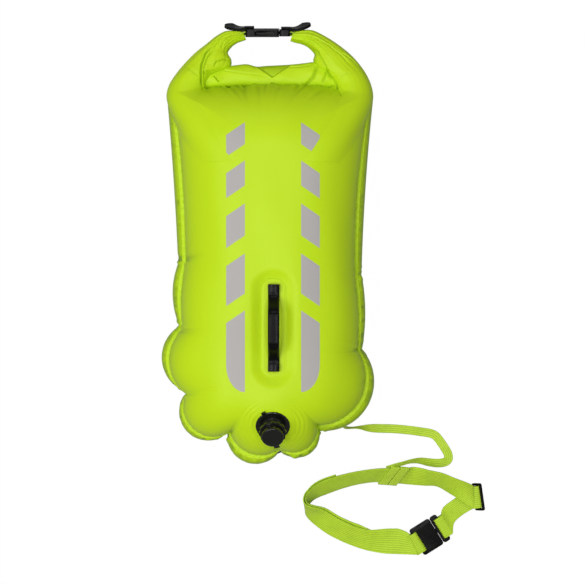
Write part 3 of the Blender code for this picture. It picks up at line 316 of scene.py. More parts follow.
def spread(outline):
    """The outline with its lobes smoothed away."""
    step = np.hypot(*(np.roll(outline, -1, 0) - outline).T).mean()
    waves = np.fft.fftfreq(AROUND)
    keep = np.exp(-2 * (math.pi * waves * LOBE_SPREAD / step) ** 2)
    return np.real(np.fft.ifft(np.fft.fft(outline, axis=0) * keep[:, None], axis=0))


rear_edge = outline_of(REAR_EDGE_SHARES)
front_seam = outline_of(FRONT_SEAM_SHARES)
spine_foot = front_seam[:, 1].min() + FOOT_ROUND
spine_head = front_seam[:, 1].max() - HEAD_ROUND
seam_step = np.hypot(*(np.roll(front_seam, -1, 0) - front_seam).T)
seam_run = np.cumsum(seam_step) - seam_step
seam_length = seam_step.sum()


def level(outline, soft, scale):
    """The outline drawn in towards the bag's spine, its lobes fading on the way."""
    reach = soft + (outline - soft) * scale ** 3
    spine = np.stack([np.zeros(AROUND), np.clip(reach[:, 1], spine_foot, spine_head)], 1)
    return spine + (reach - spine) * scale


def normals_of(grid):
    """Outward directions at the points of a grid of rings."""
    around = np.roll(grid, -1, 1) - np.roll(grid, 1, 1)
    up = np.gradient(grid, axis=0)
    facing = np.cross(around, up)
    return facing / np.maximum(np.linalg.norm(facing, axis=2, keepdims=True), 1e-12)


def quarter(steps):
    """Angles of a quarter turn."""
    return np.linspace(0.0, math.pi / 2, steps + 1)


def ring(outline, height):
    return np.column_stack([outline, np.full(len(outline), height)])


def ramp(values, span):
    """0 up to nothing and 1 from span on."""
    return np.clip(values / span, 0.0, 1.0)


def span_start(k):
    """Where on the seam a span of the outline starts."""
    return seam_run[min(sum(round(share * AROUND) for share in SPAN_SHARES[:k]), AROUND - 1)]


def at_notches(count, half, reach, size):
    """Rows of puckers that are gathered at the notches."""
    return [(count, span_start(k) - half, span_start(k) + half, reach, size) for k in NOTCHES]


def puckers(depths, rows):
    """Seeded puckers: each a ridge or a crease that starts on the seam and dies out inward."""
    total = np.zeros(depths.shape)
    for count, low, high, reach, size in rows:
        for _ in range(count):
            spot = low + (high - low) * chance.random()
            wide = 0.0013 + 0.0026 * chance.random()
            long = reach * (0.35 + chance.random())
            tall = size * (0.3 + 0.7 * chance.random()) * chance.choice((-1.0, 1.0))
            lean = 0.35 * (chance.random() - 0.5)
            gap = (seam_run - spot - lean * depths + seam_length / 2) % seam_length - seam_length / 2
            total += tall * np.exp(-(gap / wide) ** 2) * np.exp(-(depths / long) ** 2)
    return total


def zipped(last, spots):
    """Triangles that close a narrow ring from its foot to its head."""
    size = len(last)
    foot, head = spots[:, 1].argmin(), spots[:, 1].argmax()
    right = [(foot + k) % size for k in range((head - foot) % size + 1)]
    left = [(foot - k) % size for k in range((foot - head) % size + 1)]
    faces = []
    while len(right) > 1 or len(left) > 1:
        right_next, left_next = (spots[side[1], 1] if len(side) > 1 else math.inf for side in (right, left))
        if right_next < left_next:
            corners = (right.pop(0), right[0], left[0])
        else:
            corners = (right[0], left[1], left.pop(0))
        if len(set(corners)) == 3:
            faces.append([int(last[k]) for k in corners])
    return faces


def ringed(name, rings, narrow=False):
    """A mesh through rings of points, closed at both ends; a narrow last ring is zipped up."""
    index = np.arange(rings.shape[0] * rings.shape[1]).reshape(rings.shape[:2])
    here, there = index[:-1], index[1:]
    quads = np.stack([here, np.roll(here, -1, 1), np.roll(there, -1, 1), there], -1).reshape(-1, 4)
    last = zipped(index[-1], rings[-1]) if narrow else [index[-1].tolist()]
    mesh = bpy.data.meshes.new(name)
    mesh.from_pydata(rings.reshape(-1, 3).tolist(), [], quads.tolist() + [index[0][::-1].tolist()] + last)
    return mesh


def piece_of(name, mesh, split=False):
    """A smooth piece whose faces look outward; the large ones can be split in triangles."""
    work = bmesh.new()
    work.from_mesh(mesh)
    if split:
        bmesh.ops.triangulate(work, faces=[face for face in work.faces if len(face.verts) > 4])
    bmesh.ops.recalc_face_normals(work, faces=work.faces)
    work.to_mesh(mesh)
    work.free()
    mesh.polygons.foreach_set("use_smooth", [True] * len(mesh.polygons))
    mesh.update()
    piece = bpy.data.objects.new(name, mesh)
    bpy.context.scene.collection.objects.link(piece)
    return piece


def closed_skin(name, rings, fold, narrow=False):
    """A closed skin of fabric that is told, in its fold attribute, how much painted shade each point gets."""
    piece = piece_of(name, ringed(name, rings, narrow), split=True)
    # the fold attribute holds painted shade: darkening in creases and folds and on the shaded rear shoulder
    depth = piece.data.attributes.new("fold", "FLOAT", "POINT")
    depth.data.foreach_set("value", fold.reshape(-1).astype(np.float32))
    return piece


def away(grid):
    """Distance of each point from the first ring, along the skin."""
    steps = np.linalg.norm(np.diff(grid, axis=0), axis=2)
    return np.concatenate([np.zeros((1, AROUND)), np.cumsum(steps, 0)], 0)


def dress(piece, finish, slot, body, *replaced):
    """Gives a piece its finish, the nodes that it stands for and the body that carries it; slot is not used.
    """
    piece.data.materials.append(finish)
    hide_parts(*replaced)
    if body:
        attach(piece, body)


# Finish of the coated fabric: a close plain weave under a smooth glossy face, a little uneven in tone,
# with painted shade in its folds.
LIME = (0.515, 0.745, 0.01)
# the painted shade colour that folds, creases and the rear shoulder are painted towards
LIME_SHADE = (0.2, 0.36, 0.004)
LIME_OLIVE = (0.45, 0.64, 0.005)
THREAD_PITCH = 0.00042


def coated_fabric(name):
    """The lime fabric, painted darker with painted shade where its mesh's fold attribute says so."""
    fabric = Finish(name, LIME, 0.36, **{"Specular IOR Level": 0.16})
    x, y, _ = fabric.axes()
    weave = x.wave(THREAD_PITCH) * y.wave(THREAD_PITCH)
    crumple = fabric.noise(46.0, 4.0)
    cloudy = fabric.noise(9.0, 2.0)
    base = fabric.blend(cloudy * 0.3, LIME, LIME_OLIVE)
    # painted shade, as much as the fold attribute asks for
    base = fabric.blend(fabric.attribute("fold").clamped(), base, LIME_SHADE)
    fine = fabric.bump(weave, 0.1, 0.00006)
    return fabric, base, fabric.bump(crumple, 0.16, 0.0012, fine)


plain, plain_base, plain_bump = coated_fabric("lime_fabric")
plain_gloss = 0.33 + plain.noise(30.0) * 0.12
lime_fabric = plain.wear(Base_Color=plain_base, Roughness=plain_gloss, Normal=plain_bump)

# Rear air chamber: its shoulder runs down and out from the weld, gathered in small puckers, to a round
# waist, and it lies on its flattened back.
soft_rear = spread(rear_edge)
rear_rings = []
for angle in quarter(SHOULDER_STEPS):
    reach = SHOULDER_START + (1 - SHOULDER_START) * math.sin(angle)
    height = REAR_WAIST + (REAR_DEPTH - REAR_WAIST) * math.cos(angle) ** 0.8
    rear_rings.append(ring(front_seam + (rear_edge - front_seam) * reach, height))
for angle in quarter(BACK_STEPS)[1:]:
    scale = REAR_FLAT + (1 - REAR_FLAT) * math.cos(angle)
    rear_rings.append(ring(level(rear_edge, soft_rear, scale), REAR_WAIST * (1 - math.sin(angle))))
rear_rings.append(ring(level(rear_edge, soft_rear, REAR_CENTRE), 0.0))
rear_grid = np.array(rear_rings)[::-1]
rear_depth = away(rear_grid[::-1])[::-1]
rear_pucker = puckers(rear_depth, [
    (210, span_start(1), span_start(8), 0.016, 0.0008),
    (60, span_start(3), span_start(6), 0.022, 0.0009),
    (110, 0.0, seam_length, 0.012, 0.0007),
    *at_notches(7, 0.006, 0.035, 0.0016),
])
rear_pucker *= ramp(rear_depth, 0.004) * ramp(rear_grid[:, :, 2], 0.03)
rear_grid = rear_grid + normals_of(rear_grid) * rear_pucker[:, :, None]
# painted shade: the shoulder is painted darker from a little above the floor up, and so are its pucker
# creases
rear_painted_shade = REAR_SHADE * ramp(rear_grid[:, :, 2] - 0.02, 0.03)
rear_painted_shade += np.clip(-rear_pucker / 0.002, 0.0, CREASE_SHADE)
rear_skin = closed_skin("rear_skin", rear_grid, rear_painted_shade)
dress(rear_skin, lime_fabric, "lime_fabric", "buoy", "rear_chamber")

# Front air chamber: a crowned pillow, drawn tight, with a recess for the handle and a flat for the
# valve. Long soft folds run in from its notches.
HANDLE_X, HANDLE_Y = 0.0083, -0.1112
RECESS_HALF = (0.0158, 0.063)
RECESS_CORNER = 0.015
RECESS_DEPTH = 0.006
RECESS_LIP, RECESS_SLOPE = 0.015, 0.0175
VALVE_SPOT = Vector((0.007, -0.2359, 0.1618))
VALVE_AXIS = Vector((0.0, -0.538, 0.843))
VALVE_FLAT, VALVE_EASE = 0.0262, 0.0014
LONG_SLACK, CROSS_SLACK = 0.0006, 0.0005
RIPPLE_HEIGHT, RIPPLE_PITCH, RIPPLE_REACH = 0.00045, 0.0058, 0.01

soft_front = spread(front_seam)
front_rings = []
for angle in quarter(PILLOW_STEPS):
    scale = FRONT_FLAT + (1 - FRONT_FLAT) * math.cos(angle)
    height = FRONT_BASE + FRONT_DEPTH * math.sin(angle)
    front_rings.append(ring(level(front_seam, soft_front, scale), height))
for step in range(1, CROWN_STEPS):
    scale = FRONT_FLAT * (1 - step / CROWN_STEPS) + 0.006
    front_rings.append(ring(level(front_seam, soft_front, scale), FRONT_BASE + FRONT_DEPTH))
front_grid = np.array(front_rings)
front_depth = away(front_grid)
front_pucker = puckers(front_depth, [
    (120, span_start(1), span_start(8), 0.011, 0.0007),
    (60, 0.0, seam_length, 0.008, 0.0005),
    (80, span_start(9) + 0.035, seam_length - 0.035, 0.03, 0.002),
    *at_notches(4, 0.004, 0.034, 0.0016),
])
front_pucker *= ramp(front_depth, 0.003)
front_grid = front_grid + normals_of(front_grid) * front_pucker[:, :, None]
x, y, z = front_grid[:, :, 0], front_grid[:, :, 1], front_grid[:, :, 2]

# slack that crosses the pillow
slack = LONG_SLACK * np.sin(x * 95 + 1.3 * np.sin(y * 21)) + CROSS_SLACK * np.sin(y * 33 + x * 18 + 1.0)
z += slack * ramp(z - FRONT_BASE, 0.05)
# the flat that the valve stands on, and rings of slack round it
valve_x, valve_y = x - VALVE_SPOT.x, y - VALVE_SPOT.y
seat = VALVE_SPOT.z - (valve_y * VALVE_AXIS.y + valve_x * VALVE_AXIS.x) / VALVE_AXIS.z
gap = np.hypot(valve_x, valve_y / VALVE_AXIS.z)
z += (np.minimum(seat, z) - z) / (1.0 + np.exp((gap - VALVE_FLAT) / VALVE_EASE))
ripple = RIPPLE_HEIGHT * np.sin((gap - 0.026) * math.tau / RIPPLE_PITCH)
z += ripple * np.exp(-((gap - 0.033) / RIPPLE_REACH) ** 2) * ramp(np.abs(valve_x), 0.028) ** 2
# the recess of the handle
side_x = np.abs(x - HANDLE_X) - (RECESS_HALF[0] - RECESS_CORNER)
side_y = np.abs(y - HANDLE_Y) - (RECESS_HALF[1] - RECESS_CORNER)
edge = np.hypot(np.maximum(side_x, 0), np.maximum(side_y, 0)) + np.minimum(np.maximum(side_x, side_y), 0)
sunk = ramp(RECESS_LIP + RECESS_CORNER - edge, RECESS_SLOPE)
z -= RECESS_DEPTH * sunk ** 2 * (3 - 2 * sunk) * ramp(z - FRONT_BASE, 0.06)
# painted shade in the creases of the puckers
front_painted_shade = np.clip(-front_pucker / 0.0016, 0.0, CREASE_SHADE)
front_skin = closed_skin("front_skin", front_grid, front_painted_shade, narrow=True)

# Reflective print: grey bars of glass beads in two columns, with a fin under each.
PRINT_MIDDLE = 0.0074
PRINT_INNER = 0.0355
PRINT_WIDTH = 0.0237
PRINT_TOP = 0.15
PRINT_SLOPE = 0.68
PRINT_BARS = ((0.0, 0.0279), (0.0488, 0.0804), (0.1032, 0.1437), (0.1665, 0.2172))
FIN_TOP = 0.2387
FIN_SIDE = 0.3083
FIN_POINT = 0.3425
PRINT_GREY = (0.4, 0.38, 0.37)
PRINT_SHINE = (0.5, 0.48, 0.47)
PRINT_EDGE = 0.0003
PRINT_LOW = 0.14

printed, printed_base, printed_bump = coated_fabric("printed_fabric")
print_x, print_y, print_z = printed.axes()
out = (print_x - PRINT_MIDDLE).math("ABSOLUTE") - PRINT_INNER
down = PRINT_TOP - print_y
slanted = down - out * PRINT_SLOPE
bars = slanted.above(FIN_TOP, PRINT_EDGE)
share = (out / PRINT_WIDTH).clamped()
curve_end = FIN_SIDE + (1.0 - share * share).math("SQRT") * (FIN_POINT - FIN_SIDE)
bars = bars * (curve_end - down).above(0.0, PRINT_EDGE)
for first, last in PRINT_BARS:
    bars = bars + slanted.above(first, PRINT_EDGE) * (1.0 - slanted.above(last, PRINT_EDGE))
ink = bars * out.above(0.0, PRINT_EDGE) * (1.0 - out.above(PRINT_WIDTH, PRINT_EDGE))
ink = (ink * print_z.above(PRINT_LOW, 0.002)).clamped()
beads = printed.noise(2600.0, 2.0)
grey = printed.blend(beads * 0.5, PRINT_GREY, PRINT_SHINE)
printed_fabric = printed.wear(
    Base_Color=printed.blend(ink, printed_base, grey),
    Roughness=0.33 + printed.noise(30.0) * 0.12 + ink * 0.16,
    Normal=printed.bump(beads * ink, 0.25, 0.0002, printed_bump),
)
dress(front_skin, printed_fabric, "lime_fabric", "buoy", "front_chamber")

# Perimeter weld: the two pillows are sealed to each other in a flat band that stands out past the
# front one. A thin bright rib runs along each side of it where the sealing bar's edges pressed.
WELD_THICKNESS = 0.0024
WELD_OUT, WELD_IN = 0.4, 0.955
# painted highlight: a lighter lime that the whole weld band is painted towards, where light catches the seam
WELD_HIGHLIGHT = (0.62, 0.86, 0.04)
PRESS_PITCH = 0.0019


def band(name, left, right, thickness, columns=9, rib=0.0, crown=0.0):
    """A ribbon between two rails with soft edges, its UV map in metres along and across it."""
    left, right = np.asarray(left, float), np.asarray(right, float)
    across, middle = right - left, (left + right) / 2
    facing = np.cross(np.gradient(middle, axis=0), across)
    facing /= np.maximum(np.linalg.norm(facing, axis=1, keepdims=True), 1e-12)
    width = np.linalg.norm(across, axis=1).mean()
    soft = thickness / 2 / width
    spots = np.concatenate([[0.0, soft * 0.3], np.linspace(soft, 1 - soft, columns), [1 - soft * 0.3, 1.0]])
    heights = np.full(len(spots), thickness / 2)
    heights[[0, -1]] = 0.0
    heights[[1, -2]] = thickness * 0.36
    heights[[3, -4]] += rib
    lift = crown * (1 - (2 * spots - 1) ** 2)
    top = [left + across * c + facing * (h + b) for c, h, b in zip(spots, heights, lift)]
    low = [left + across * c - facing * (h - b) for c, h, b in zip(spots, heights, lift)][-2:0:-1]
    section = np.stack(top + low, 1)
    shares = np.concatenate([spots, spots[-2:0:-1]])
    run = np.concatenate([[0.0], np.cumsum(np.linalg.norm(np.diff(middle, axis=0), axis=1))])
    flat = np.stack(np.broadcast_arrays(run[:, None], shares[None, :] * width), -1).reshape(-1, 2)
    mesh = ringed(name, section)
    corners = np.empty(len(mesh.loops), np.int32)
    mesh.loops.foreach_get("vertex_index", corners)
    mesh.uv_layers.new(name="strap").data.foreach_set("uv", flat[corners].reshape(-1).astype(np.float32))
    return piece_of(name, mesh)


weld_last = AROUND - round(SPAN_SHARES[-1] * AROUND)
weld_outer = (front_seam + (rear_edge - front_seam) * WELD_OUT)[:weld_last]
weld_inner = level(front_seam, soft_front, WELD_IN)[:weld_last]
wavy = 0.0005 * np.sin(seam_run[:weld_last] * 610 + 2 * np.sin(seam_run[:weld_last] * 90))
weld_rails = np.column_stack([weld_outer, MIDDLE_Z + wavy]), ring(weld_inner, MIDDLE_Z)
weld_skin = band("weld_skin", *weld_rails, WELD_THICKNESS, columns=14, rib=0.0005)
sealed, sealed_base, sealed_bump = coated_fabric("sealed_band")
press = sealed.axes("UV")
ribs = press[0].wave(PRESS_PITCH) * press[1].wave(PRESS_PITCH)
# painted highlight over the whole band
sealed_base = sealed.blend(0.35, sealed_base, WELD_HIGHLIGHT)
sealed_bump = sealed.bump(ribs, 0.35, 0.0003, sealed_bump)
weld_finish = sealed.wear(Base_Color=sealed_base, Roughness=0.3, Normal=sealed_bump)
dress(weld_skin, weld_finish, "lime_fabric", "buoy", "perimeter_weld")

# Dry compartment and the stiffener of its mouth: the flat inner bag shows only as a dark line at the neck.
inner, inner_base, inner_bump = coated_fabric("inner_fabric")
# painted shade: the inner fabric is painted darker, as it lies in shade inside the neck
inner_face = inner.wear(Base_Color=inner.blend(0.35, inner_base, LIME_SHADE), Roughness=0.5, Normal=inner_bump)
nodes["dry_compartment"].data.materials.clear()
nodes["dry_compartment"].data.materials.append(inner_face)

# Black plastics: acetal buckles and slider with a fine moulded grain, worn pale in scattered spots, and the
# glossier rubbery ones of the handle, the pull tabs and the valves.
DUST = (0.018, 0.018, 0.016)


def moulded(name, tone, roughness, grain, gloss):
    """A black plastic with a moulded grain, faint flow marks and dust in its grain."""
    plastic = Finish(name, tone, roughness, **{"Specular IOR Level": gloss})
    fine = plastic.noise(2400.0, 2.0)
    flow = plastic.noise(70.0, 3.0, (1.0, 2.5, 1.0))
    worn = plastic.noise(380.0, 4.0).above(0.62, 0.16)
    tint = plastic.blend(worn * 0.25, tone, DUST)
    return plastic.wear(
        Base_Color=tint,
        Roughness=roughness + flow * 0.06 - worn * 0.03,
        Normal=plastic.bump(fine, grain, 0.0002, plastic.bump(flow, 0.12, 0.0006)),
    )


black_plastic = moulded("black_plastic", (0.003, 0.003, 0.0026), 0.3, 0.2, 0.14)
black_rubber = moulded("black_rubber", (0.003, 0.003, 0.003), 0.2, 0.05, 0.12)
valve_black = moulded("valve_black", (0.005, 0.005, 0.004), 0.18, 0.08, 0.5)


def moulding(name, finish, radius=0.0004):
    """A CAD node that keeps its shape, with its corners eased and shaded as a moulding."""
    node = nodes[name]
    node.data.materials.clear()
    node.data.materials.append(finish)
    node.data.polygons.foreach_set("use_smooth", [True] * len(node.data.polygons))
    join = node.modifiers.new("joined", "WELD")
    join.merge_threshold = 0.00002
    edge = node.modifiers.new("eased", "BEVEL")
    edge.width = radius
    edge.segments = 2
    edge.limit_method = "ANGLE"
    edge.angle_limit = math.radians(32)
    edge.harden_normals = True
    edge.use_clamp_overlap = True


moulding("closure_stiffener", black_plastic)

# Roll-top closure: the dry bag's mouth is rolled down over its stiffener, and past the stiffener the
# roll is bunched, bent up and in to the buckle. Points are in pixels of the picture, sizes in
# millimetres: a fold's line, then its gutter's half width and depth and its bank's rise and reach.
# Each gutter is also painted darker as painted shade, the more so the deeper it is.
HEAD_LINES = (
    (((212.9, 45.2), (205.6, 54), (201.6, 65.7), (201.2, 81.9), (203.5, 93)), 1, 3.4, 3.4, 7),
    (((213.5, 50), (208.5, 57), (204.8, 66), (204.4, 79)), 0.8, 2, 1.6, 4),
    (((213, 74.5), (219.5, 82.4)), 0.8, 2.2, 1.4, 4),
    (((213.7, 68.7), (216.6, 62.3), (223.9, 59.6), (230.5, 60.5)), 1, 1.4, 1.6, 5),
    (((217, 69), (240, 72.5), (258, 74.5), (272.4, 78.6)), 1.2, 0.5, 1.2, 4),
    (((184, 64.5), (200.5, 77.5)), 1.8, 0.6, 1.4, 6),
    (((222, 36), (216, 44), (214, 49)), 1, 0.8, 1, 4),
    (((229, 34), (224, 42), (221, 50)), 1, 0.8, 1, 4),
    (((303, 34.6), (316, 38.5), (330, 46.5), (342, 56.5), (351, 67)), 1.2, 0.7, 1.4, 6),
    (((341, 52.5), (352, 60), (361, 69.5)), 1, 0.8, 1.2, 5),
    (((309, 45.5), (317.8, 52), (323, 61.5), (329, 74), (337, 83.5)), 1.1, 1.3, 1.8, 6),
    (((301, 37.5), (313, 41.5), (325, 50.5), (333, 61)), 1.1, 0.6, 1.2, 5),
    (((318, 64), (313.4, 77), (303, 88)), 2, 2, 1.2, 6),
    (((328, 69), (322.2, 84)), 1.6, 1.4, 1.2, 4),
    (((338.5, 80), (344, 75), (350, 72.5)), 1.2, 0.5, 0.8, 5),
    (((336, 81.5), (337.6, 90), (341.5, 98)), 1, 3.2, -1.6, 5),
    (((303, 40), (310, 42), (316, 47)), 0.8, 0.8, 1, 3),
    (((287, 67), (300, 66.5), (313, 64)), 1, 0.8, 1, 3),
)
MM = 0.001
PHOTO_SIDE = 585
# how dark the gutters of folds are painted, as painted shade
FOLD_SHADE = 0.75
SETTLE = 0.0006


def photo(px, py, z=0.115):
    """The place of a point of the picture's frame at a height."""
    share = VIEW_WIDTH / PHOTO_SIDE * (VIEW_HEIGHT - z) / (VIEW_HEIGHT - VIEW_LEVEL)
    right, down = px - PHOTO_SIDE / 2, py - PHOTO_SIDE / 2
    return VIEW_MIDDLE[0] + right * share, VIEW_MIDDLE[1] - down * share


def folds(x, y, lines):
    """Height and painted shade of folds: a gutter along each line, painted darker, whose left bank stands up
    and falls off.
    """
    height, dark = np.zeros(x.shape), np.zeros(x.shape)
    for points, *sizes in lines:
        gutter, depth, rise, reach = (size * MM for size in sizes)
        spots = np.array([photo(px, py, 0.118) for px, py in points])
        steps = np.diff(spots, axis=0)
        lengths = np.hypot(*steps.T)
        starts = np.cumsum(lengths) - lengths
        gap, side, run = np.full(x.shape, 9.0), np.zeros(x.shape), np.zeros(x.shape)
        for spot, (ux, uy), length, start in zip(spots, steps / lengths[:, None], lengths, starts):
            along = np.clip((x - spot[0]) * ux + (y - spot[1]) * uy, 0.0, length)
            dx, dy = x - spot[0] - ux * along, y - spot[1] - uy * along
            near = np.hypot(dx, dy)
            closer = near < gap
            side = np.where(closer, dy * ux - dx * uy, side)
            run = np.where(closer, (start + along) / lengths.sum(), run)
            gap = np.minimum(near, gap)
        fade = ramp(run, 0.2) * ramp(1 - run, 0.2)
        valley = np.exp(-(gap / gutter) ** 2)
        bank = np.where(side > 0, (1 - valley) * np.exp(-gap / reach), 0.0)
        height += fade * (rise * bank - depth * valley)
        # painted shade in the gutter
        dark += fade * valley * min(depth / 0.003, 1.0)
    return height, dark


def softly_higher(first, second, soft):
    """The higher of two surfaces, with a fillet between them."""
    share = np.clip(0.5 + (first - second) / (2 * soft), 0.0, 1.0)
    return second + (first - second) * share + soft * share * (1 - share)


def settled(x, y, z, piece, soft):
    """Heights of a skin's front that runs out softly on another piece, to end just under its face."""
    mesh = piece.data
    tree = BVHTree.FromPolygons([v.co for v in mesh.vertices], [tuple(p.vertices) for p in mesh.polygons])
    below = np.full(x.shape, -1.0)
    for k in zip(*np.nonzero(z > MIDDLE_Z - 0.0001)):
        hit = tree.ray_cast((x[k], y[k], 0.3), (0, 0, -1))[0]
        if hit:
            below[k] = hit.z - SETTLE
    return np.where(below > 0, softly_higher(z, np.maximum(below, z - 4 * soft), soft), z)


def between(rows, steps):
    """Rows of numbers with smooth values put in between."""
    rows = np.array(rows, float)
    padded = np.concatenate([rows[:1], rows, rows[-1:]])
    smooth = []
    for k in range(len(rows) - 1):
        a, b, c, d = padded[k:k + 4]
        for t in np.arange(steps) / steps:
            bend = (2 * a - 5 * b + 4 * c - d) * t ** 2 + (3 * b - a - 3 * c + d) * t ** 3
            smooth.append((2 * b + (c - a) * t + bend) / 2)
    return np.array(smooth + [rows[-1]])


# Gathered ends: outer and inner edge, and half the depth, from the pillow's corner to the buckle. The
# right one is held by the buckle's male half.
LEFT_ARM = (
    (195, 165, 262, 165, 64),
    (183, 140, 244, 140, 58),
    (172, 116, 224, 116, 46),
    (166.8, 99, 209, 100, 34),
    (168.6, 87, 206.5, 87.5, 27.5),
    (174.6, 76.5, 211, 77, 25),
    (183.4, 65.5, 229, 68.5, 23),
    (195, 53.5, 231.5, 60.5, 21.8),
    (206.2, 44.5, 228, 53, 20),
    (215.4, 37, 232, 46.6, 18),
    (225, 31.6, 237.6, 42.6, 15.5),
    (235, 31, 241.6, 41.2, 13),
    (242.5, 31.8, 246, 39.6, 10),
)
RIGHT_ARM = (
    (346, 165, 278, 165, 64),
    (358, 140, 296, 140, 58),
    (368.5, 116, 316, 116, 46),
    (373, 99, 331, 100, 34),
    (371.6, 87, 333.5, 87.5, 27.5),
    (366.8, 75.4, 328, 76, 25),
    (359.4, 64.4, 316, 68, 23),
    (349.6, 53.8, 313.4, 60.5, 21.8),
    (337.6, 44.4, 314.4, 54, 20),
    (325.2, 36.6, 308.6, 47.4, 18),
    (313, 30.8, 302.4, 44, 15.5),
    (302, 30.4, 296, 42.4, 13),
    (294, 31.6, 290.5, 40.8, 10),
)
ARM_BACK = 0.0245
ARM_AROUND = 230
ARM_STEPS = 20


def gathered_arm(name, outline, phase):
    """A bunched end of the roll, its front settled on the pillow that it grows out of."""
    stations = between(outline, ARM_STEPS)
    turn = math.tau * np.arange(ARM_AROUND) / ARM_AROUND
    grid = []
    for k, (outer_x, outer_y, inner_x, inner_y, deep) in enumerate(stations):
        gone = k / (len(stations) - 1)
        outer = np.array(photo(outer_x, outer_y, MIDDLE_Z))
        inner = np.array(photo(inner_x, inner_y, MIDDLE_Z))
        wave = 0.5 * np.sin(7 * turn + 2 * gone + phase) + 0.3 * np.sin(13 * turn - 3 * gone)
        wave += 0.2 * np.sin(23 * turn)
        ridge = 1 + 0.1 * gone ** 2.5 * wave
        spot = (outer + inner) / 2 + (outer - inner)[None, :] / 2 * (np.cos(turn) * ridge)[:, None]
        full = np.where(turn < math.pi, deep * MM, -min(deep * MM, ARM_BACK))
        rise = full * np.abs(np.sin(turn)) ** 0.8 * ridge
        grid.append(np.column_stack([spot, MIDDLE_Z + rise]))
    grid = np.array(grid)
    x, y, z = grid[:, :, 0], grid[:, :, 1], grid[:, :, 2]
    front = ramp(z - MIDDLE_Z, 0.004)
    z[:] = settled(x, y, z, front_skin, 0.014)
    lift, dark = folds(x, y, HEAD_LINES)
    z += lift * front
    # painted shade in the folds on the arm's front
    return closed_skin(name, grid, FOLD_SHADE * dark * front)


left_arm = gathered_arm("left_arm", LEFT_ARM, 0.0)
dress(left_arm, lime_fabric, "lime_fabric", "buoy", "left_gather")
right_arm = gathered_arm("right_arm", RIGHT_ARM, 2.0)
dress(right_arm, lime_fabric, "lime_fabric", None, "right_gather")
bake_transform(right_arm)

# The roll between them: its upper and lower edge, and how far it stands out
ROLL_EDGES = (
    (194, 80, 82, 1),
    (203, 74, 88.8, 9),
    (214, 70, 88.4, 12.5),
    (225, 67, 88.2, 12.8),
    (236.6, 65.2, 87.4, 12.6),
    (247, 64.4, 87.8, 12.5),
    (256.5, 66.6, 88, 12.5),
    (266.8, 65.9, 88.2, 12.5),
    (281, 65.2, 88.4, 12.5),
    (294.7, 64.4, 88.4, 12.5),
    (305, 63.2, 88, 12.6),
    (315, 62.4, 88.4, 12.8),
    (326, 66.5, 88.4, 12.5),
    (337, 74, 88, 9),
    (346, 80, 82, 1),
)
ROLL_NOTCH = (272.4, 78.0)
ROLL_AROUND = 150

roll_rings, roll_foot_shade = [], []
for px, top_y, foot_y, deep in between(ROLL_EDGES, 28):
    turn = math.tau * np.arange(ROLL_AROUND) / ROLL_AROUND
    roll_x, roll_high = photo(px, top_y, MIDDLE_Z)
    roll_low = photo(px, foot_y + 1.0, MIDDLE_Z)[1]
    # painted shade: a thin dark line along the roll's foot, where it tucks against the pillow
    roll_foot_shade.append(np.exp(-(((roll_high - roll_low) * (1 + np.cos(turn)) / 2 - 0.001) / 0.0012) ** 2))
    roll_rings.append(np.column_stack([
        np.full(ROLL_AROUND, roll_x),
        (roll_high + roll_low) / 2 + (roll_high - roll_low) / 2 * np.cos(turn),
        MIDDLE_Z + deep * MM * np.sign(np.sin(turn)) * np.abs(np.sin(turn)) ** 0.75,
    ]))
roll_grid = np.array(roll_rings)
x, y, z = roll_grid[:, :, 0], roll_grid[:, :, 1], roll_grid[:, :, 2]
front = ramp(z - MIDDLE_Z, 0.004)
z[:] = settled(x, y, z, left_arm, 0.004)
z[:] = settled(x, y, z, right_arm, 0.004)
lift, dark = folds(x, y, HEAD_LINES)
notch_x, notch_y = photo(*ROLL_NOTCH)
inside = ramp(y - notch_y - np.abs(x - notch_x) * 0.7, 0.0012) * ramp(0.024 - np.abs(x - notch_x), 0.004)
z += (lift - 0.0032 * inside + 0.0003 * np.sin(x * 130 + y * 260)) * front
# painted shade in the folds, in the hollow of the notch and along the roll's foot
roll_painted_shade = (FOLD_SHADE * dark + 0.35 * inside + 0.7 * np.array(roll_foot_shade)) * front
roll_skin = closed_skin("roll_skin", roll_grid, roll_painted_shade)
dress(roll_skin, lime_fabric, "lime_fabric", "buoy", "roll_closure")

# Webbing: lime polyester woven in close ribs, doubled round each buckle's bar and sewn to the gathered
# ends. The weave follows the strap's own length and width.
WEB_THICKNESS = 0.0014
LOOP_RADIUS = 0.003
STUB_WEBBING = 0.025
BELT_WEBBING = 0.03
WEB_LIME = (0.56, 0.8, 0.03)
# painted shade between the ribs; the same colour serves the webbing's stains
WEB_SHADE_AND_STAIN = (0.22, 0.37, 0.006)
RIB_PITCH = 0.0027


def woven(name, tone, rib):
    """Ribbed webbing with a slanting thread in each rib, painted with shade between its ribs and with stains.
    """
    web = Finish(name, tone, 0.62, **{"Specular IOR Level": 0.35, "Sheen Weight": 0.15})
    run, across, _ = web.axes("UV")
    row = (across / rib).math("FLOOR")
    cord = (across.wave(rib * 2)).math("ABSOLUTE").math("SQRT")
    thread = ((run + across * 0.6 + row * rib * 0.5) / (rib * 0.62)).math("FRACT")
    tuft = (thread * math.pi).math("SINE")
    height = cord * 0.62 + cord * tuft * 0.38
    stain = web.noise(60.0, 3.0, output="UV")
    # painted shade in the valleys between the ribs
    base = web.blend((1.0 - height) * 0.95, tone, WEB_SHADE_AND_STAIN)
    base = web.blend(stain.above(0.45, 0.3) * 0.25, base, WEB_SHADE_AND_STAIN)
    return web.wear(Base_Color=base, Roughness=0.55 + stain * 0.15, Normal=web.bump(height, 0.45, 0.00025))


lime_webbing = woven("lime_webbing", WEB_LIME, RIB_PITCH)


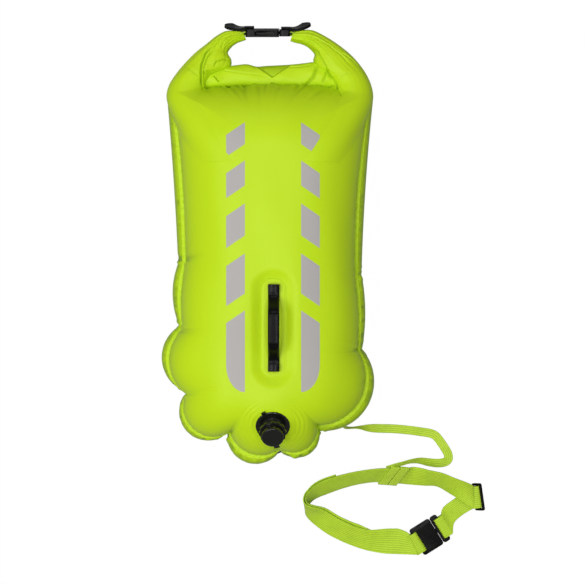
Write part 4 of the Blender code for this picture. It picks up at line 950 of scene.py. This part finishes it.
def doubled(
    name, node, body, matrix, bar_x, reach, webbing, direction,
    radius=LOOP_RADIUS, pinch=1.0, twist=0.0, slack=0.0,
):
    """Webbing turned round a bar; its two layers run on by reach, pinched together and twisted."""
    def layer(side, share):
        drawn = share ** 0.6
        return bar_x + direction * reach * share, side * radius * (1 + (pinch - 1) * drawn), twist * drawn

    path = [layer(1, k / 8) for k in range(8, 0, -1)]
    for step in range(17):
        angle = math.radians(90.0 + direction * 180.0 * step / 16)
        path.append((bar_x + (radius + slack) * math.cos(angle), radius * math.sin(angle), 0.0))
    path += [layer(-1, k / 8) for k in range(1, 9)]
    edges = [
        [
            matrix @ (Matrix.Rotation(math.radians(turned), 4, "X") @ Vector((x, side * webbing / 2, z)))
            for x, z, turned in path
        ]
        for side in (-1, 1)
    ]
    piece = band(name, *edges, WEB_THICKNESS)
    dress(piece, lime_webbing, "lime_webbing", body, node)
    return piece


TOP_FRAME = Matrix.Translation((0.0146, 0.2722, MIDDLE_Z)) @ Matrix.Rotation(math.radians(100.0), 4, "X")
STUB_PINCH = 0.3
STUB_TWIST = 15.0
doubled(
    "left_stub_webbing", "left_stub", "buoy", TOP_FRAME, -0.0415, 0.0157, STUB_WEBBING, -1,
    pinch=STUB_PINCH, twist=STUB_TWIST,
)
doubled(
    "right_stub_webbing", "right_stub", "top_male", TOP_FRAME, 0.0127, 0.0153, STUB_WEBBING, 1,
    pinch=STUB_PINCH, twist=STUB_TWIST,
)

# Top buckle: a side-release buckle for 25 mm webbing, edge on to the camera, with a stiff rubber tab
# at each end that is pulled to tighten the roll.
for name in ("top_buckle_female", "top_buckle_male", "top_prong_left", "top_prong_right"):
    moulding(name, black_plastic)
TAB_LENGTH = 0.0385
TAB_HALF = 0.0105
TAB_FOOT = 0.0105
TAB_DIP = 0.0016
TAB_TWIST = 20.0


def pull_tab(side, foot_x, face, direction, rise, body):
    """A leaf of stiff rubber on the buckle's face that flares away past its end, twisting a little."""
    left, right = [], []
    for step in range(49):
        along = TAB_LENGTH * step / 48
        bend = max(along - TAB_FOOT, 0.0) / (TAB_LENGTH - TAB_FOOT)
        x = foot_x + direction * along
        z = -face - rise * bend ** 1.6 + TAB_DIP * math.sin(math.pi * min(bend * 1.6, 1.0))
        tip = max(along - TAB_LENGTH + TAB_HALF, 0.0)
        wide = max(math.sqrt(max(TAB_HALF ** 2 - tip ** 2, 0.0)), 0.0022)
        turned = math.radians(TAB_TWIST * min(bend * 1.6, 1.0))
        across = Vector((0.0, math.cos(turned), math.sin(turned)))
        middle = Vector((x, 0.0, z))
        left.append(TOP_FRAME @ (middle - across * wide))
        right.append(TOP_FRAME @ (middle + across * wide))
    tab = band(side + "_tab_skin", left, right, 0.0029, columns=11, rib=0.0004)
    dress(tab, black_rubber, "black_rubber", body, side + "_pull_tab")


pull_tab("left", -0.0325, 0.0067, -1, 0.002, "buoy")
pull_tab("right", 0.0027, 0.0058, 1, 0.005, "top_male")

# Grab handle: a moulded rubber strap, thicker along its edges, whose feet are welded to a patch on the
# floor of the recess under small cross-ribbed plates.
HANDLE_LENGTH = 0.1106
HANDLE_WIDTH = 0.0145
HANDLE_THICKNESS = 0.0034
HANDLE_RISE = 0.0215
HANDLE_FOOT, HANDLE_RUN = 0.013, 0.026
STRAP_LOW = 0.1745

handle_left, handle_right = [], []
for step in range(111):
    along = HANDLE_LENGTH * step / 110
    inward = min(along, HANDLE_LENGTH - along)
    climb = min(max((inward - HANDLE_FOOT) / HANDLE_RUN, 0.0), 1.0)
    lift = HANDLE_RISE * (1 - math.cos(math.pi * climb)) / 2
    spot = (HANDLE_Y - HANDLE_LENGTH / 2 + along, STRAP_LOW + lift)
    handle_left.append((HANDLE_X - HANDLE_WIDTH / 2, *spot))
    handle_right.append((HANDLE_X + HANDLE_WIDTH / 2, *spot))
grab_handle = band("handle_strap", handle_left, handle_right, HANDLE_THICKNESS, columns=13, rib=0.0005)
dress(grab_handle, black_rubber, "black_rubber", "buoy", "grab_handle")
for name in ("handle_plate_lower", "handle_plate_upper"):
    moulding(name, black_rubber)

PATCH_TOP = 0.1725
bpy.ops.object.select_all(action="DESELECT")
bpy.ops.mesh.primitive_grid_add(x_subdivisions=40, y_subdivisions=150, size=1, location=(0, 0, 0))
patch = bpy.context.object
patch.name = "handle_patch_skin"
for vertex in patch.data.vertices:
    wide, long = vertex.co.x * 2, vertex.co.y * 2
    vertex.co = (wide * RECESS_HALF[0], long * RECESS_HALF[1], 0.0)
    slip = Vector((
        max(abs(vertex.co.x) - (RECESS_HALF[0] - RECESS_CORNER), 0.0),
        max(abs(vertex.co.y) - (RECESS_HALF[1] - RECESS_CORNER), 0.0),
    ))
    square = max(slip.x, slip.y)
    if slip.length > 1e-9 and min(slip) > 0:
        slip *= square / slip.length
        vertex.co.x = math.copysign(RECESS_HALF[0] - RECESS_CORNER + slip.x, vertex.co.x)
        vertex.co.y = math.copysign(RECESS_HALF[1] - RECESS_CORNER + slip.y, vertex.co.y)
    rim = RECESS_CORNER - (square if slip.length > 0 else 0.0)
    ridge = math.exp(-((rim - 0.003) / 0.0007) ** 2) + 0.7 * math.exp(-((rim - 0.0052) / 0.0006) ** 2)
    vertex.co.z = 0.0006 * ridge
    vertex.co += Vector((HANDLE_X, HANDLE_Y, PATCH_TOP - 0.0004))
wall = patch.modifiers.new("thickness", "SOLIDIFY")
wall.thickness = 0.0008
wall.offset = -1.0
bpy.ops.object.modifier_apply(modifier="thickness")
patch.data.polygons.foreach_set("use_smooth", [True] * len(patch.data.polygons))
dress(patch, lime_fabric, "lime_fabric", "buoy", "handle_patch")

# Inflation valves: glossy black mouldings, one in front and one behind. Each has a flange welded in the
# chamber, a ribbed housing, a knurled lock ring and a flip cap over its mouthpiece.
for end in ("front", "rear"):
    for part in ("flange", "housing", "mouthpiece", "lock_ring", "cap"):
        moulding(f"{end}_valve_{part}", valve_black)
    seal = Finish(end + "_seal", (0.013, 0.013, 0.012), 0.35)
    moulding(f"{end}_valve_seal", seal.wear(Normal=seal.bump(seal.noise(900.0), 0.1, 0.0002)), 0.0001)
    silicone = Finish(end + "_diaphragm", (0.5, 0.5, 0.48), 0.4, **{"Subsurface Weight": 0.2})
    moulding(f"{end}_valve_diaphragm", silicone.wear(Roughness=0.35 + silicone.noise(300.0) * 0.2), 0.0001)

# Leash anchor: a stitched webbing patch, welded on the rear chamber's lower right lobe.
anchor_face = Finish("anchor_webbing", WEB_LIME, 0.6)
anchor_rib = anchor_face.axes()[2].wave(RIB_PITCH * 2).math("ABSOLUTE")
# painted shade between the ribs
anchor_base = anchor_face.blend((1.0 - anchor_rib) * 0.7, WEB_LIME, WEB_SHADE_AND_STAIN)
anchor_bump = anchor_face.bump(anchor_rib, 0.5, 0.0003)
moulding("leash_anchor", anchor_face.wear(Base_Color=anchor_base, Normal=anchor_bump))

# Leash: a narrow woven tape that hangs from its anchor, twists on to its flat, turns back on itself
# at two soft folds and climbs to the belt.
LEASH_TAPE = 0.012
LEASH_LIME = (0.6, 0.83, 0.045)
LEASH_RIB = 0.0023
ROUTE_UNITS = (MM, MM, MM, 1)
LEASH_ROUTE = (
    (99.8, -240.4, 58, 0),
    (100.96, -243.22, 48, 0),
    (102.6, -246.2, 37, 14),
    (106.4, -247.6, 26, 46),
    (113, -248.2, 16.5, 64),
    (122, -248.5, 9.4, 48),
    (134, -249.5, 4.2, 16),
    (150, -250.2, 1.4, 2),
    (170, -250.8, 1.2, 0),
    (190, -252.6, 1.2, 0),
    (206, -254.8, 1.2, 0),
    (219, -257, 1.2, 0),
    (226.2, -260.6, 1.2, 0),
    (232, -267.6, 1.2, 0),
    (238.4, -277, 1.2, 0),
    (242.6, -285, 1.2, 0),
    (242.8, -292.2, 1.4, 2),
    (237, -296.2, 2, 5),
    (227, -297, 3, 10),
    (215, -295.4, 5.2, 20),
    (203, -293, 10, 34),
    (191, -293.4, 18, 44),
    (180, -295.8, 24.2, 48),
    (169, -298.8, 26.2, 52),
    (158, -302.2, 26.2, 58),
)


def rails(stations, width, offset=0.0, raises=None, middle=False, pinches=None, fold=None):
    """Both edges of a strap that follows its floor edge, or its middle, and leans as its stations say."""
    points = [Vector(station[:3]) for station in stations]
    left, right = [], []
    for k, point in enumerate(points):
        along = (points[min(k + 1, len(points) - 1)] - points[max(k - 1, 0)]).normalized()
        side = Vector((along.y, -along.x, 0)).normalized()
        lean = math.radians(stations[k][3])
        across = side * math.cos(lean) + side.cross(along) * math.sin(lean)
        if fold:
            across = across.lerp(fold[0], fold[1][k]).normalized()
        start = point + along.cross(across).normalized() * offset
        if raises:
            start += across * raises[k]
        wide = width * (pinches[k] if pinches else 1.0)
        if middle:
            start -= across * wide / 2
        left.append(start)
        right.append(start + across * wide)
    return left, right


leash_stations = between(np.array(LEASH_ROUTE) * ROUTE_UNITS, 12)
bunched = [1 - 0.66 * math.exp(-((k / 12 - 3.2) / 2.6) ** 4) for k in range(len(leash_stations))]
bunched = [share * (1 - 0.35 * math.exp(-((k / 12 - 21.5) / 1.6) ** 2)) for k, share in enumerate(bunched)]
leash_rails = rails(leash_stations, LEASH_TAPE, middle=True, pinches=bunched)
leash = band("leash_webbing", *leash_rails, WEB_THICKNESS, columns=7, crown=0.0004)
leash_webbing = woven("leash_webbing", LEASH_LIME, LEASH_RIB)
dress(leash, leash_webbing, "lime_webbing", "buoy", "leash_tape")

# Waist belt: one length of webbing from the buckle's female half round the left bend. It passes
# twice there, its tail outside, and then runs up to the slider.
BELT_FRAME = (
    Matrix.Translation((0.2262, -0.3879, 0.0083))
    @ Matrix.Rotation(math.radians(32.0), 4, "Z")
    @ Matrix.Rotation(math.radians(9.0), 4, "X")
)
SLIDER_FRAME = Matrix.Translation((0.2828, -0.342, 0.01)) @ Matrix.Rotation(math.radians(8.0), 4, "Z")
FEMALE_BAR, MALE_BAR = -0.0295, 0.0092
LOOP_REACH = 0.008
BUCKLE_SLACK = 0.0022
SEAT_GAP = 0.0003
TURN_RADIUS = 0.003267
LAYER = 0.0015
TAIL_RAISE = 0.0035
SEWN_SPREAD = 0.2
BELT_FOLD = Vector((-0.1, 0.6, 0.79))
BELT_ROUTE = (
    (189.4, -419.9, 6.6, 9),
    (174, -419.6, 4.4, 10),
    (154.3, -418.6, 3, 13),
    (130, -413.8, 2.4, 20),
    (105.7, -405.1, 2.2, 26),
    (83.2, -394.3, 2.2, 28),
    (66.4, -382.8, 2.2, 31),
    (55.2, -372.4, 2.2, 37),
    (51, -363.6, 2.2, 66),
    (53, -354.4, 2.2, 100),
    (58.8, -347.2, 2.2, 118),
    (66.8, -342.4, 2.2, 128),
    (78, -338, 2.2, 134),
    (97, -331, 2.4, 133),
    (117.8, -325.2, 2.8, 131),
    (139.4, -321.7, 3.4, 131),
    (156, -322, 3.8, 135),
    (169, -322.8, 3.8, 135),
    (180, -323.7, 3.8, 136),
    (193, -325.2, 4.4, 148),
    (209.6, -326.2, 5.8, 144),
    (227.2, -327, 7, 134),
    (243, -335.6, 9, 140),
    (256, -344.6, 11.4, 160),
    (268, -352.6, 13, 177),
)
NEAR_END = 14
FAR_START, TAIL_RAISE_END = 4, 13
NEAR_EASE, FAR_EASE = 2, 3.25
FINE = 12


def bar_edge(frame, x, height):
    """Both corners of the belt's webbing where it leaves the loop round a bar."""
    return [frame @ Vector((x, side * BELT_WEBBING / 2, height)) for side in (-1, 1)]


near_edge = bar_edge(BELT_FRAME, FEMALE_BAR - LOOP_REACH + SEAT_GAP, LOOP_RADIUS)
slider_x = -LOOP_REACH + SEAT_GAP
slider_edge = bar_edge(SLIDER_FRAME, slider_x, TURN_RADIUS)
belt_way = np.array(BELT_ROUTE) * ROUTE_UNITS
route = [(*near_edge[0], 9.0), *belt_way, (*slider_edge[0], 180.0)]
stations = between(route, FINE)
lifts = []
for k in range(len(stations)):
    gone = (k / FINE - FAR_START) / (TAIL_RAISE_END - FAR_START)
    lifts.append(TAIL_RAISE * min(max(1 - gone, 0.0), max(gone / 0.09, 0.0)))


def ease_edge(edges, ends, count, last=False):
    """Lets a strap's first or last stations run straight from the edge where it starts or ends."""
    for rail, corner in zip(edges, ends):
        for k in range(count):
            spot = -1 - k if last else k
            rail[spot] = corner.lerp(rail[spot], k / count)


fold = (BELT_FOLD, [math.exp(-((k / FINE - 9.6) / 1.7) ** 4) for k in range(len(stations))])
sewn = [1 + SEWN_SPREAD * math.exp(-((k / FINE - 2.0) / 1.8) ** 4) for k in range(len(stations))]
near_rails = rails(stations, BELT_WEBBING, -LAYER, pinches=sewn, fold=fold)
near_rails = [rail[:NEAR_END * FINE + 1] for rail in near_rails]
ease_edge(near_rails, near_edge, NEAR_EASE * FINE)
near_strap = band("belt_near_webbing", *near_rails, WEB_THICKNESS, crown=0.0005)
dress(near_strap, lime_webbing, "lime_webbing", "buoy", "belt_near_strap")

far_rails = [rail[FAR_START * FINE:] for rail in rails(stations, BELT_WEBBING, LAYER, lifts, fold=fold)]
ease_edge(far_rails, slider_edge, round(FAR_EASE * FINE), last=True)
far_strap = band("belt_far_webbing", *far_rails, WEB_THICKNESS, crown=0.0005)
dress(far_strap, lime_webbing, "lime_webbing", None, "belt_far_strap", "belt_upper_strap")
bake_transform(far_strap)

# The leash's own end, wound twice round the belt and sewn
LEASH_LOOP_SLANT = 0.0105
LEASH_LOOP_PITCH = 0.0125
loop_middle = Vector((0.16967, -0.31328, 0.01547))
loop_along = Vector((0.9975, -0.07066, 0.0))
loop_across = Vector((0.04996, 0.70534, 0.70711))
loop_facing = Vector((-0.04996, -0.70534, 0.70711))
half_wide, half_thick = BELT_WEBBING / 2 + 0.0021, 0.0021
loop_left, loop_right = [], []
for k in range(121):
    angle = math.tau * k / 64 - 0.5
    wide = max(min(math.cos(angle) * (half_wide + 0.004), half_wide), -half_wide)
    thick = math.copysign(min(abs(math.sin(angle)) * 0.012, half_thick), math.sin(angle))
    slant = LEASH_LOOP_SLANT * math.cos(angle) + LEASH_LOOP_PITCH * (k / 64 - 0.94)
    spot = loop_middle + loop_across * wide + loop_facing * thick + loop_along * slant
    loop_left.append(spot - loop_along * LEASH_TAPE / 2)
    loop_right.append(spot + loop_along * LEASH_TAPE / 2)
leash_loop = band("leash_loop_webbing", loop_left, loop_right, WEB_THICKNESS, columns=7)
dress(leash_loop, leash_webbing, "lime_webbing", "buoy", "leash_belt_loop")

# Belt buckle and slider: a side-release buckle for 30 mm webbing and a three-bar slider, with the
# webbing that turns round their bars and the doubled strap between them.
female_loop = doubled(
    "female_loop_webbing", "belt_female_loop", "buoy", BELT_FRAME, FEMALE_BAR, LOOP_REACH,
    BELT_WEBBING, -1, slack=BUCKLE_SLACK,
)
male_loop = doubled(
    "male_loop_webbing", "belt_male_loop", "belt_male", BELT_FRAME, MALE_BAR, LOOP_REACH,
    BELT_WEBBING, 1, slack=BUCKLE_SLACK,
)
slider_loop = doubled(
    "slider_loop_webbing", "belt_slider_loop", "belt_male", SLIDER_FRAME, 0.0, LOOP_REACH,
    BELT_WEBBING, -1, TURN_RADIUS,
)

ADJUST_WAYS = (((0.2508, -0.3772), (0.263, -0.366)), ((0.2362, -0.356), (0.252, -0.344)))
male_x = MALE_BAR + LOOP_REACH - SEAT_GAP
for name, node, male_height, slider_height in (
    ("adjust_webbing", "belt_adjust_strap", LOOP_RADIUS, -TURN_RADIUS),
    ("adjust_return_webbing", "belt_adjust_return", -LOOP_RADIUS, -TURN_RADIUS - WEB_THICKNESS - SEAT_GAP),
):
    ends = bar_edge(BELT_FRAME, male_x, male_height), bar_edge(SLIDER_FRAME, slider_x, slider_height)
    edges = []
    for way, first, last in zip(ADJUST_WAYS, *ends):
        sag = [last.z + (first.z - last.z) * share ** 2 for share in (2 / 3, 1 / 3)]
        spots = [(*spot, height) for spot, height in zip(way, sag)]
        edges.append(between([tuple(first), *spots, tuple(last)], 15))
    strap = band(name, *edges, WEB_THICKNESS)
    dress(strap, lime_webbing, "lime_webbing", "belt_male", node)

for name in (
    "belt_buckle_female", "belt_buckle_male", "belt_prong_left", "belt_prong_right", "belt_triglide",
):
    moulding(name, black_plastic)
